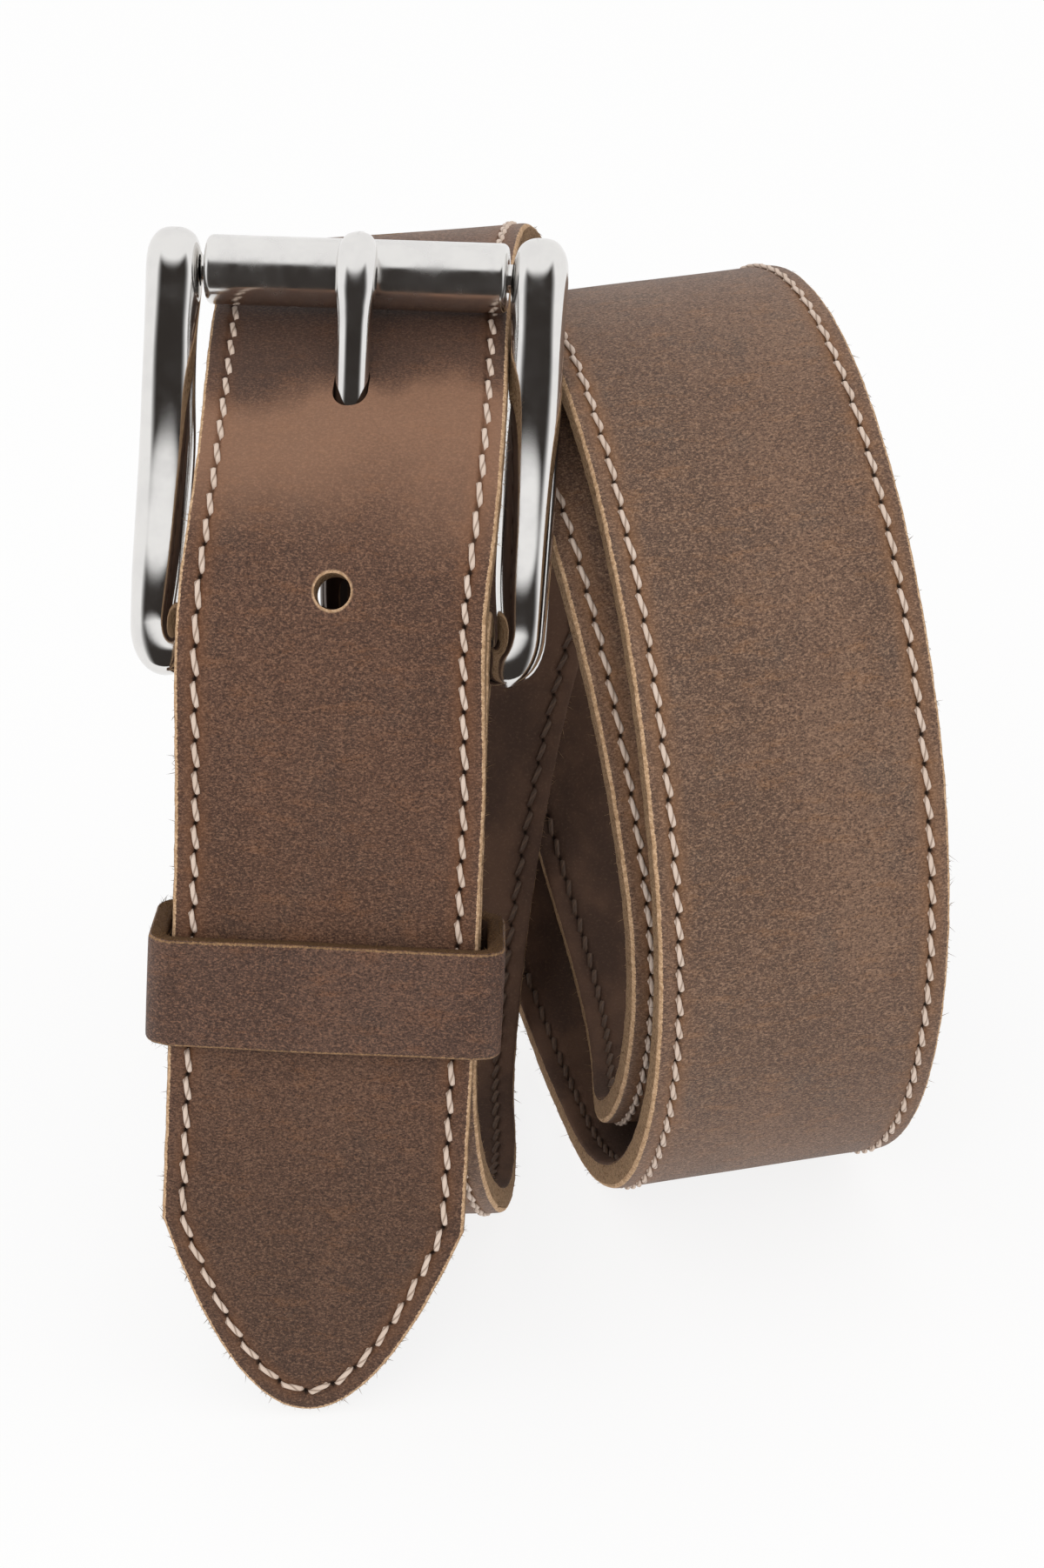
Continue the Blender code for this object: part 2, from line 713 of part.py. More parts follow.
def build_screws(strap):
    """Two-part screws: a tubular post from the fold's back, a screw with a flat head in front."""
    front = STRAP_THICK / 2 + HEAD_CLEARANCE
    back = front - 2 * STRAP_THICK - RETURN_GAP - 2 * HEAD_CLEARANCE
    post = (
        (back + POST_FLOOR, POST_BORE), (front - GAP, POST_BORE),
        (front - GAP, POST_RADIUS), (back, POST_RADIUS),
        (back, SCREW_HEAD_RADIUS), (back - SCREW_HEAD_THICK, SCREW_HEAD_RADIUS),
    )
    screw = (
        (front + SCREW_HEAD_THICK, SCREW_HEAD_RADIUS), (front, SCREW_HEAD_RADIUS),
        (front, SHANK_RADIUS), (back + POST_FLOOR + SHANK_SHORT, SHANK_RADIUS),
    )
    for place, drop in zip(("upper", "lower"), SCREW_DROPS):
        row = strap.below.row(drop)
        for name, outline in ((f"screw_post_{place}", post), (f"screw_{place}", screw)):
            rings = [disc(row.at(0, h), row.grain, row.across, radius) for h, radius in outline]
            new_object(name, prism(rings), *STEEL)


def main():
    for obj in list(bpy.data.objects):
        bpy.data.objects.remove(obj, do_unlink=True)
    strap = Strap()
    buckle = Buckle(strap)
    build_strap(strap)
    top, low = STRAP_THICK / 2, STRAP_THICK / 2 - CHANNEL_DEPTH + GAP
    needle = thread_mesh(strap, low, low + THREAD_THICK)
    new_object("needle_thread", needle, *THREAD)
    bobbin = thread_mesh(strap, -top - GAP - BOBBIN_THICK, -top - GAP)
    new_object("bobbin_thread", bobbin, *THREAD)
    build_frame(buckle)
    build_roller(buckle)
    build_prong(buckle)
    build_keeper(strap)
    build_staple(strap)
    build_screws(strap)


main()
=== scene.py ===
"""The look of a brown leather belt with a polished roller buckle, standing as a coil.

The strap, its stitches, the keeper and the buckle are modelled here round the same path as
the CAD, at full detail, and each piece rides on the CAD body that it belongs to.
"""

import json
import math

import bmesh
import bpy
import numpy as np
from mathutils import Matrix, Vector

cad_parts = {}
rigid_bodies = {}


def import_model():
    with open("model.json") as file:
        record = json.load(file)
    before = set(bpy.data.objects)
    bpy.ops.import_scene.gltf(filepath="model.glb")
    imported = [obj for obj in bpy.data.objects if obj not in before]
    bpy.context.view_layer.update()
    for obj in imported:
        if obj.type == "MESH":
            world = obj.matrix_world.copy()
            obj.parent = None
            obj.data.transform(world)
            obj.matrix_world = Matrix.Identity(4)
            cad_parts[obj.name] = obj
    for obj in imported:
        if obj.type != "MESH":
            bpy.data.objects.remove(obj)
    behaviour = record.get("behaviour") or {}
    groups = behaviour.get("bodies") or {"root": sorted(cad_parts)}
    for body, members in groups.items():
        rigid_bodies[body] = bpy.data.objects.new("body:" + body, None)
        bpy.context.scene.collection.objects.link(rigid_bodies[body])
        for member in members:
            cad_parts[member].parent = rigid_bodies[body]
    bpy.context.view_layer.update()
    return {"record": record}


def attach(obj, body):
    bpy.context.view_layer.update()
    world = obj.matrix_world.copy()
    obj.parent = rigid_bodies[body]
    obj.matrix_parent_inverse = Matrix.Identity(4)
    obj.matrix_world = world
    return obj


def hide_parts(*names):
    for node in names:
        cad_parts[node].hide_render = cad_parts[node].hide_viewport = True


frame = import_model()
JOINTS = {joint["name"]: joint for joint in frame["record"]["behaviour"]["joints"]}
MM = 0.001
RANDOM = np.random.RandomState(7)

# Strap, with the same driving sizes as the CAD
WIDTH = 40.0 * MM
THICK = 3.9 * MM
HALF = WIDTH / 2
TIP = 26.0 * MM
HEEL_FROM_TIP = 102.0 * MM
LAYER_GAP = 2.0 * MM
RETURN_GAP = 1.1 * MM
RETURN_LENGTH = 62.0 * MM
CLOSE_UP = 16.0 * MM
SIDE_SHIFT = 0.5 * MM
INNER_LEG = 54.0 * MM
FOLD_SLACK = 0.5 * MM
BAR_RADIUS = 2.4 * MM
TURN_RADIUS = BAR_RADIUS + FOLD_SLACK + THICK / 2
REST_RUN = 8.0 * MM
ON_TABLE = THICK / 2 / MM
CENTRE_X = -2.526
CENTRE_Y = 1.359

# Punched holes and stitching
FIRST_HOLE = 111.0 * MM
HOLE_PITCH = 25.4 * MM
HOLE_COUNT = 5
HOLE_RADIUS = 2.4 * MM
HOLE_IN_USE = 1
SEAM_INSET = 2.7 * MM
SEAM_START = 14.0 * MM
SEAM_REACH = 0.75 * MM
GROOVE_HALF = 0.55 * MM
GROOVE_DEPTH = 0.20 * MM
PIT_RADIUS = 0.72 * MM
PIT_DEPTH = 0.55 * MM
STITCH_PITCH = 3.85 * MM
STITCH_SLANT = 0.32 * MM
PLY_DEPTH = 0.08
THREAD_RADIUS = 0.355 * MM

# Where the strap bends under the roller it sits a little to the left
HUMP_FROM_TIP = 152.0 * MM
HUMP_SPREAD = 18.0 * MM
HUMP_SHIFT = 0.5 * MM

# Where the leather rides up the prong, below the hole in use
LIP_FROM_TIP = 135.5 * MM
LIP_SPREAD = 5.5 * MM
LIP_RISE = 1.1 * MM
PRONG_GAP = 0.15 * MM
HOLE_LIFT = 2.6

# Buckle
BUCKLE_SHIFT = -0.5 * MM
ROLLER_LENGTH = 40.3 * MM
ROLLER_RADIUS = 4.65 * MM
PRONG_SIDE = 0.7 * MM

# The slot in the fold that the prong's eye sits in, measured from the heel bar
SLOT_HALF = 3.8 * MM
SLOT_RUN = (-8.0 * MM, 5.6 * MM)
SLOT_DEPTH = 7.6 * MM

# Keeper
KEEPER_FROM_TIP = 58.0 * MM
KEEPER_HEIGHT = 14.5 * MM
KEEPER_THICK = 2.4 * MM
KEEPER_SLACK = 0.8 * MM
SIDE_SLACK = 0.7 * MM
KEEPER_CORNER = 1.5 * MM
STACK = 2 * THICK + LAYER_GAP + RETURN_GAP

# Where the strap's middle line passes: x, y, z in millimetres, the way the grain side
# faces (yaw from -Y, rise above level) and the sideways lean in degrees.
COIL = (
    (-23.5, -3, ON_TABLE, -3, -90, -3),
    (-8.5, 45.5, 64.5, 3, 184.5, 17),
    (15, 8, 117, 9, 94, 8),
    (32, -41, 65, 14, 5, 4),
    (28.5, -4.5, 8.7, 3, -90, 4.5),
    (14, 63.5, 67, 9.5, 182, -2.5),
    (22, 13, 125, 14, 100, -2),
    (36, -53, 69, 12, 8, 0),
    (23.5, 1, ON_TABLE, 12, -90, 1),
    (-2, 68, 70, 4, 177, -12),
    (-18, -7, 132, 0, 75, -3),
)
BILLET = ((-22.5, -44, 110, -5, 35.5, -7.5), (-25, -54, 81, 0, 8, -5), (-33, -72, 0.5, -2, 12, -5))


# ---- the strap's path


def unit(v):
    return v / np.linalg.norm(v, axis=-1, keepdims=True)


def across_from(across, along):
    return unit(across - np.sum(across * along, axis=-1, keepdims=True) * along)


def station(x, y, z, yaw, rise, lean):
    """(middle, along, across) of the strap where it passes one place."""
    yaw, rise, lean = np.radians((yaw, rise, lean))
    down = np.array((0, -math.sin(rise), -math.cos(rise)))
    side = np.array((1.0, 0, 0))
    along = math.cos(lean) * down + math.sin(lean) * side
    across = math.cos(lean) * side - math.sin(lean) * down
    turn = np.array(Matrix.Rotation(yaw, 3, "Z"))
    return np.array((x + CENTRE_X, y + CENTRE_Y, z)) * MM, turn @ along, turn @ across


def leg(start, end, steps=48):
    """A smooth bend that leaves start and arrives at end the way they run."""
    a, run_a, across_a = start
    d, run_d, across_d = end
    chord = d - a
    bend = min(math.acos(np.clip(run_a @ run_d, -1, 1)), math.radians(150))
    reach = 1 / (3 * math.cos(bend / 4) ** 2 * max(math.cos(bend / 2), 0.25))
    b = a + run_a * max(chord @ run_a, 2 * MM) * reach
    c = d - run_d * max(chord @ run_d, 2 * MM) * reach
    t = np.linspace(0, 1, steps + 1)[1:, None]
    u = 1 - t
    middle = u**3 * a + 3 * u * u * t * b + 3 * u * t * t * c + t**3 * d
    along = unit(u * u * (b - a) + 2 * u * t * (c - b) + t * t * (d - c))
    ease = t * t * (3 - 2 * t)
    return middle, along, across_from(across_a * (1 - ease) + across_d * ease, along)


def joined(parts):
    return tuple(np.vstack([np.atleast_2d(part[k]) for part in parts]) for k in range(3))


def chain(stations):
    return joined([stations[0]] + [leg(a, b) for a, b in zip(stations, stations[1:])])


class Ribbon:
    """A strip of leather's path that can be asked for places on it."""

    def __init__(self, rows):
        self.middle, self.along, self.across = rows
        steps = np.linalg.norm(np.diff(self.middle, axis=0), axis=1)
        self.marks = np.concatenate([[0], np.cumsum(steps)])
        self.length = self.marks[-1]

    def row(self, s):
        """(middle, along, across, grain) at distance s, for a number or an array."""

        def pick(values):
            return np.stack([np.interp(s, self.marks, values[:, k]) for k in range(3)], -1)

        along = unit(pick(self.along))
        across = across_from(pick(self.across), along)
        return pick(self.middle), along, across, np.cross(along, across)

    def at(self, s, x, h):
        middle, _, across, grain = self.row(s)
        return middle + np.asarray(x)[..., None] * across + np.asarray(h)[..., None] * grain


def coil_stations():
    rows = []
    for place in COIL:
        middle, along, across = station(*place)
        run = REST_RUN / 2 if place[2] == ON_TABLE else 0
        ends = (-run, run) if run else (0,)
        rows += [(middle + d * along, along, across) for d in ends]
    return rows


def eased(t):
    return t * t * (3 - 2 * t)


def strap_path():
    """(the whole strap, the heel bar's centre, the distance of the heel's front)."""
    coil = coil_stations()
    end = chain(coil[-1:] + [station(*place) for place in BILLET])
    billet = Ribbon(end)
    drop = np.linspace(0, INNER_LEG, 28)
    _, along, across, _ = billet.row(billet.length - HEEL_FROM_TIP + drop)
    inner = billet.at(
        billet.length - HEEL_FROM_TIP + drop,
        SIDE_SHIFT * drop / INNER_LEG,
        np.full(len(drop), -THICK - LAYER_GAP),
    )
    main = (inner, along, across)
    top_grain = np.cross(along[0], across[0])
    bar = inner[0] - TURN_RADIUS * top_grain
    angle = np.pi * np.arange(1, 20)[:, None] / 20
    out = -np.cos(angle) * top_grain - np.sin(angle) * along[0]
    run = np.sin(angle) * top_grain - np.cos(angle) * along[0]
    turn = (bar + TURN_RADIUS * out, run, np.repeat(across[:1], len(angle), axis=0))
    turns = chain([tuple(part[-1] for part in main)] + coil)
    turns = tuple(part[1:] for part in turns)
    below = Ribbon(joined([main, turns]))
    drop = np.linspace(RETURN_LENGTH, 0, 32)
    near = THICK + RETURN_GAP
    away = 2 * TURN_RADIUS + (near - 2 * TURN_RADIUS) * eased(np.minimum(drop / CLOSE_UP, 1))
    _, along_back, across_back, _ = below.row(drop)
    folded = (below.at(drop, 0 * drop, -away), -along_back, across_back)
    path = Ribbon(joined([folded, turn, main, turns, tuple(part[1:] for part in end)]))
    return path, bar, path.marks[len(drop) + len(angle)]


PATH, BAR, HEEL = strap_path()


# ---- mesh helpers


def smooth_noise(values, seed, octaves=3):
    """A gentle, repeatable wobble of about -1 to 1."""
    total = 0
    for k in range(octaves):
        total = total + np.sin(values * 1.7**k + seed * (k + 1.3)) * np.sin(
            values * 0.61 * 1.9**k + seed * 2.1 * (k + 1)
        ) / (k + 1)
    return total / 1.4


def turns_of(count):
    """Evenly spaced angles once round."""
    return 2 * np.pi * np.arange(count) / count


def link(obj):
    bpy.context.scene.collection.objects.link(obj)


def make_object(name, points, faces, materials, face_slots=None, uv=None, values=None):
    """An object from numpy points and quads or polygons, with its UVs and point values."""
    mesh = bpy.data.meshes.new(name)
    mesh.from_pydata(np.asarray(points).tolist(), [], [list(map(int, f)) for f in faces])
    for material in materials:
        mesh.materials.append(material)
    if face_slots is not None:
        mesh.polygons.foreach_set("material_index", np.asarray(face_slots, dtype=np.int32))
    if uv is not None:
        layer = mesh.uv_layers.new(name="strip")
        corners = np.empty(len(mesh.loops), dtype=np.int32)
        mesh.loops.foreach_get("vertex_index", corners)
        layer.data.foreach_set("uv", np.asarray(uv, dtype=np.float32)[corners].ravel())
    for key, data in (values or {}).items():
        layer = mesh.attributes.new(key, "FLOAT", "POINT")
        layer.data.foreach_set("value", np.asarray(data, dtype=np.float32))
    mesh.polygons.foreach_set("use_smooth", np.ones(len(mesh.polygons), dtype=bool))
    mesh.update()
    obj = bpy.data.objects.new(name, mesh)
    link(obj)
    return obj


def grid_faces(rows, columns, wrap=False, start=0, loop=False):
    """Quads over a grid of points; wrap joins its side columns, loop its end rows."""
    last = columns if wrap else columns - 1
    faces = []
    for i in range(rows if loop else rows - 1):
        base, ahead = start + i * columns, start + (i + 1) % rows * columns
        for j in range(last):
            n = (j + 1) % columns
            faces.append((base + j, base + n, ahead + n, ahead + j))
    return faces


def tidy_mesh(obj, merge=0.0):
    """Joins doubled points and turns every face outwards."""
    data = bmesh.new()
    data.from_mesh(obj.data)
    if merge:
        bmesh.ops.remove_doubles(data, verts=data.verts, dist=merge)
        bmesh.ops.dissolve_degenerate(data, edges=data.edges, dist=merge)
    bmesh.ops.recalc_face_normals(data, faces=data.faces)
    data.to_mesh(obj.data)
    data.free()
    return obj


def carve(obj, cutters):
    """Cuts the cutters out of obj for good, keeping the cutters' own material on the walls."""
    for cutter in cutters:
        modifier = obj.modifiers.new(cutter.name, "BOOLEAN")
        modifier.operation = "DIFFERENCE"
        modifier.solver = "EXACT"
        modifier.material_mode = "TRANSFER"
        modifier.object = cutter
    graph = bpy.context.evaluated_depsgraph_get()
    carved = bpy.data.meshes.new_from_object(obj.evaluated_get(graph))
    obj.modifiers.clear()
    obj.data = carved
    for cutter in cutters:
        bpy.data.objects.remove(cutter, do_unlink=True)
    return obj


def swept(name, rings, material, closed_ends=True):
    """A tube through rings of equal count."""
    rings = np.asarray(rings)
    rows, columns = rings.shape[:2]
    faces = grid_faces(rows, columns, wrap=True)
    if closed_ends:
        faces += [tuple(range(columns))[::-1], tuple(range((rows - 1) * columns, rows * columns))]
    obj = make_object(name, rings.reshape(-1, 3), faces, [material])
    return tidy_mesh(obj)


# ---- node materials


class Nodes:
    """Short ways to add nodes to a material or a world."""

    def __init__(self, owner):
        owner.use_nodes = True
        self.tree = owner.node_tree

    def put(self, value, socket):
        if isinstance(value, bpy.types.NodeSocket):
            self.tree.links.new(value, socket)
        elif isinstance(value, tuple) and len(value) == 3 and socket.type == "RGBA":
            socket.default_value = (*value, 1)
        else:
            socket.default_value = value

    def node(self, kind, inputs=(), **settings):
        made = self.tree.nodes.new(kind)
        for key, value in settings.items():
            setattr(made, key, value)
        for key, value in dict(inputs).items():
            self.put(value, made.inputs[key])
        return made

    def ranged(self, value, low, high, to_low=0.0, to_high=1.0):
        inputs = {0: value, 1: low, 2: high, 3: to_low, 4: to_high}
        return self.node("ShaderNodeMapRange", inputs, interpolation_type="SMOOTHSTEP").outputs[0]

    def sum(self, operation, a, b):
        return self.node("ShaderNodeMath", {0: a, 1: b}, operation=operation).outputs[0]

    def mix(self, share, a, b, blend="MIX"):
        made = self.node("ShaderNodeMix", data_type="RGBA", blend_type=blend)
        self.put(share, made.inputs[0])
        self.put(a, made.inputs[6])
        self.put(b, made.inputs[7])
        return made.outputs[2]


class Shader(Nodes):
    """A material, with the textures that its colours are made from."""

    def __init__(self, name):
        self.material = bpy.data.materials.new(name)
        super().__init__(self.material)
        self.base = self.tree.nodes["Principled BSDF"]

    def strip(self, stretch=(1, 1), lift=0.0):
        """Millimetres along and across the leather, each scaled."""
        uv = self.node("ShaderNodeUVMap", uv_map="strip").outputs[0]
        scale = (1000 * stretch[0], 1000 * stretch[1], 1)
        inputs = {"Vector": uv, "Scale": scale, "Location": (0, 0, lift)}
        return self.node("ShaderNodeMapping", inputs).outputs[0]

    def place(self, scale=1000):
        where = self.node("ShaderNodeTexCoord").outputs["Object"]
        inputs = {"Vector": where, "Scale": (scale, scale, scale)}
        return self.node("ShaderNodeMapping", inputs).outputs[0]

    def noise(self, vector, scale, detail=3.0, rough=0.55):
        inputs = {"Vector": vector, "Scale": scale, "Detail": detail, "Roughness": rough}
        return self.node("ShaderNodeTexNoise", inputs).outputs["Fac"]

    def attribute(self, name):
        return self.node("ShaderNodeAttribute", attribute_name=name).outputs["Fac"]

    def bump(self, height, distance, strength=1.0, normal=None):
        inputs = {"Height": height, "Distance": distance, "Strength": strength}
        if normal is not None:
            inputs["Normal"] = normal
        return self.node("ShaderNodeBump", inputs).outputs[0]

    def finish(self, **inputs):
        for key, value in inputs.items():
            self.put(value, self.base.inputs[key.replace("_", " ")])
        return self.material


MID = (0.178, 0.088, 0.055)
DARK = (0.078, 0.040, 0.027)
LIGHT = (0.36, 0.195, 0.120)
GREY = (0.115, 0.074, 0.057)
RUST = (0.32, 0.135, 0.055)
TAN = (0.40, 0.243, 0.130)
CREAM = (0.66, 0.445, 0.275)
KEEPER_TONE = (0.62, 0.585, 0.575)
TURN_TONE = (0.88, 0.98, 1.0)
BILLET_TONE = (0.65, 0.63, 0.61)
TIP_TONE = (0.81, 0.84, 0.85)


def hole_ring(shader):
    """1 on the narrow tan ring round each punched hole, 0 elsewhere."""
    parts = shader.node("ShaderNodeSeparateXYZ", {0: shader.strip()}).outputs
    from_first = shader.sum("SUBTRACT", parts[0], (PATH.length - FIRST_HOLE) / MM)
    wrapped = shader.node(
        "ShaderNodeMath", {0: from_first, 1: -HOLE_PITCH / MM / 2, 2: HOLE_PITCH / MM / 2},
        operation="WRAP",
    ).outputs[0]
    squares = shader.sum(
        "ADD", shader.sum("MULTIPLY", wrapped, wrapped), shader.sum("MULTIPLY", parts[1], parts[1])
    )
    distance = shader.sum("SQRT", squares, 0.0)
    near = shader.ranged(distance, HOLE_RADIUS / MM + 0.12, HOLE_RADIUS / MM + 0.4, 1.0, 0.0)
    span = HOLE_PITCH * (HOLE_COUNT - 0.5) / MM
    past = shader.sum("ABSOLUTE", shader.sum("ADD", from_first, HOLE_PITCH / MM), 0.0)
    unused = shader.sum("GREATER_THAN", past, HOLE_PITCH / MM / 2)
    after = shader.sum("MULTIPLY", shader.sum("GREATER_THAN", from_first, -span), unused)
    before = shader.sum("LESS_THAN", from_first, HOLE_PITCH / MM / 2)
    return shader.sum("MULTIPLY", near, shader.sum("MULTIPLY", after, before))


def tones_and_painted_light(shader, colour, cloud):
    """Painted shadow under the roller, a painted highlight below the prong's hole, browner and
    darker towards the point.
    """
    along = shader.node("ShaderNodeSeparateXYZ", {0: shader.strip()}).outputs[0]
    from_tip = shader.sum("SUBTRACT", PATH.length / MM, along)
    uneven = shader.sum("ADD", from_tip, shader.ranged(cloud, 0.3, 0.7, -4.0, 4.0))
    # painted highlight: paler leather below the prong's hole, where the strap faces up to the light
    pale = shader.sum(
        "MULTIPLY", shader.ranged(uneven, 116, 133, 0, 0.62), shader.ranged(uneven, 144, 137)
    )
    # painted shadow: darker leather where the strap bends under the roller
    painted_roller_shadow = shader.sum(
        "MULTIPLY", shader.ranged(uneven, 138, 147, 0, 0.5), shader.ranged(uneven, 172, 160)
    )
    on_billet = shader.ranged(uneven, 190, 165)
    # darker and browner towards the point
    towards_point = shader.ranged(uneven, 62, 20)
    colour = shader.mix(1.0, colour, shader.mix(on_billet, TURN_TONE, BILLET_TONE), "MULTIPLY")
    colour = shader.mix(pale, colour, (0.31, 0.163, 0.096))
    colour = shader.mix(towards_point, colour, shader.mix(1.0, colour, TIP_TONE, "MULTIPLY"))
    return shader.mix(painted_roller_shadow, colour, (0.060, 0.036, 0.028))


def grain_leather(name, mid, greyness, edge, tone=None, buckled=False):
    """Waxy pull-up leather: mottled brown with fine creases, and tan at its edges."""
    s = Shader(name)
    large = s.noise(s.strip((0.6, 1)), 0.045, 3, 0.6)
    patch = s.noise(s.strip((0.8, 1), 5.0), 0.13, 4, 0.6)
    streak = s.noise(s.strip((1.9, 1.0), 9.0), 2.3, 5, 0.72)
    flame = s.noise(s.strip((1.6, 0.45), 3.0), 0.34, 4, 0.65)
    grit = s.noise(s.strip((1, 1), 2.0), 4.6, 3, 0.65)
    colour = mid
    for cloud, none, full, most, tint in (
        (large, 0.42, 0.64, 0.42, DARK),
        (large, 0.50, 0.30, 0.22, LIGHT),
        (patch, 0.52, 0.72, greyness, GREY),
        (flame, 0.50, 0.70, 0.46, RUST),
        (streak, 0.51, 0.62, 0.95, LIGHT),
        (streak, 0.49, 0.38, 1.0, DARK),
        (grit, 0.55, 0.66, 0.55, LIGHT),
        (grit, 0.46, 0.35, 0.60, DARK),
    ):
        colour = s.mix(s.ranged(cloud, none, full, 0, most), colour, tint)
    seam = s.attribute("seam")
    colour = s.mix(s.sum("MULTIPLY", seam, s.ranged(patch, 0.35, 0.6, 0.15, 0.6)), colour, RUST)
    # painted shade: the stitch pits are darkened almost to black
    pit = s.attribute("pit")
    colour = s.mix(s.ranged(pit, 0.25, 0.8, 0, 0.92), colour, (0.012, 0.007, 0.005))
    fibre = s.noise(s.strip((2, 2), 1.0), 1.6, 4, 0.7)
    ragged = s.sum("ADD", s.attribute("rim"), s.ranged(fibre, 0.3, 0.7, -0.3, 0.3))
    rim = s.ranged(ragged, 0.35, 0.65)
    if tone:
        colour = s.mix(1.0, colour, tone, "MULTIPLY")
    if buckled:
        # painted shadow under the roller and a painted highlight below the prong's hole
        colour = tones_and_painted_light(s, colour, large)
        rim = s.sum("MAXIMUM", rim, s.sum("MULTIPLY", hole_ring(s), 0.85))
    tan = s.mix(s.ranged(fibre, 0.4, 0.65), *edge)
    colour = s.mix(rim, colour, tan)
    height = s.sum("ADD", s.sum("MULTIPLY", streak, 0.7), s.sum("MULTIPLY", grit, 0.35))
    normal = s.bump(height, 0.22 * MM, 0.7)
    normal = s.bump(patch, 0.5 * MM, 0.35, normal)
    rough = s.ranged(streak, 0.3, 0.7, 0.62, 0.50)
    rough = s.sum("MAXIMUM", rough, s.sum("MULTIPLY", rim, 0.9))
    return s.finish(
        Base_Color=colour, Roughness=rough, Normal=normal, Specular_IOR_Level=0.32
    )


def raw_edge(name, base=TAN, pale=CREAM):
    """The cut side of the hide: tan, fibrous, with darker specks."""
    s = Shader(name)
    fibre = s.noise(s.place(), 3.6, 5, 0.78)
    speck = s.noise(s.place(), 2.4, 5, 0.8)
    colour = s.mix(s.ranged(fibre, 0.40, 0.68, 0, 0.7), base, pale)
    colour = s.mix(s.ranged(speck, 0.49, 0.60, 0, 0.80), colour, (0.13, 0.068, 0.034))
    normal = s.bump(fibre, 0.6 * MM, 1.0)
    return s.finish(Base_Color=colour, Roughness=0.92, Normal=normal, Specular_IOR_Level=0.15)


def flesh_leather(name):
    """The sueded back of the hide, darker than the front."""
    s = Shader(name)
    nap = s.noise(s.strip((1.2, 1.0)), 1.8, 5, 0.75)
    cloud = s.noise(s.strip((0.7, 1), 4.0), 0.09, 3, 0.6)
    colour = s.mix(s.ranged(cloud, 0.35, 0.65), (0.115, 0.064, 0.042), (0.066, 0.038, 0.027))
    colour = s.mix(s.ranged(nap, 0.5, 0.75, 0, 0.45), colour, (0.21, 0.13, 0.085))
    # painted shade: the stitch pits are darkened almost to black
    pit = s.attribute("pit")
    colour = s.mix(s.ranged(pit, 0.25, 0.8, 0, 0.8), colour, (0.012, 0.007, 0.005))
    normal = s.bump(nap, 0.25 * MM, 0.6)
    return s.finish(Base_Color=colour, Roughness=0.88, Normal=normal, Specular_IOR_Level=0.2)


def waxed_thread(name, base, shade):
    """Two-ply cord with painted shade: pale where it stands proud, browner in the lay between the
    plies.
    """
    s = Shader(name)
    fuzz = s.noise(s.place(), 3.2, 4, 0.7)
    tone = s.noise(s.place(), 0.14, 2, 0.5)
    lay = s.attribute("lay")
    colour = s.mix(s.ranged(tone, 0.35, 0.65, 0, 0.5), base, shade)
    # painted shade in the grooves between the plies
    colour = s.mix(s.ranged(lay, 0.35, 0.0, 0, 0.7), colour, (0.16, 0.095, 0.06))
    normal = s.bump(fuzz, 0.08 * MM, 0.6)
    return s.finish(Base_Color=colour, Roughness=0.62, Normal=normal, Specular_IOR_Level=0.3)


def polished_steel(name, rough=0.085, shaded_below=None):
    """Polished plating with faint hairlines; painted shade darkens it below a height given in
    millimetres.
    """
    s = Shader(name)
    haze = s.noise(s.place(), 0.22, 3, 0.6)
    hair = s.noise(s.place(), 9.0, 2, 0.5)
    speck = s.noise(s.place(), 2.4, 5, 0.8)
    colour = s.mix(s.ranged(haze, 0.35, 0.7), (0.80, 0.785, 0.765), (0.76, 0.745, 0.73))
    colour = s.mix(s.ranged(speck, 0.66, 0.74, 0, 0.5), colour, (0.45, 0.43, 0.41))
    if shaded_below:
        height = s.node("ShaderNodeSeparateXYZ", {0: s.place()}).outputs[2]
        # painted shade: near-black below that height, where the prong lies in shade behind the hole
        # in use
        painted_shade = s.ranged(height, shaded_below, shaded_below - 6)
        colour = s.mix(painted_shade, colour, (0.13, 0.11, 0.10))
    roughness = s.ranged(haze, 0.3, 0.75, rough * 0.7, rough * 1.9)
    normal = s.bump(hair, 0.004 * MM, 0.5)
    return s.finish(Base_Color=colour, Metallic=1.0, Roughness=roughness, Normal=normal)


GRAIN = grain_leather("strap_grain", MID, 0.55, (TAN, CREAM), buckled=True)
KEEPER_RIM = ((0.19, 0.108, 0.055), (0.34, 0.20, 0.10))
KEEPER_GRAIN = grain_leather("keeper_grain", (0.15, 0.086, 0.062), 0.85, KEEPER_RIM, KEEPER_TONE)
EDGE = raw_edge("cut_edge")
KEEPER_EDGE = raw_edge("keeper_cut_edge", (0.15, 0.083, 0.042), (0.36, 0.20, 0.095))
FLESH = flesh_leather("strap_flesh")
KEEPER_FUZZ = raw_edge("keeper_fuzz", (0.30, 0.165, 0.075), (0.46, 0.27, 0.13))
THREAD = waxed_thread("needle_thread_cord", (0.66, 0.53, 0.44), (0.55, 0.42, 0.33))
BACK_THREAD = waxed_thread("bobbin_thread_cord", (0.095, 0.06, 0.042), (0.06, 0.036, 0.025))
STEEL = polished_steel("polished_steel")
ROLLER_STEEL = polished_steel("roller_steel", 0.17)
# the prong gets painted shade below 123 mm, where it shows through the hole in use
PRONG_STEEL = polished_steel("prong_steel", shaded_below=123.0)


# ---- strap

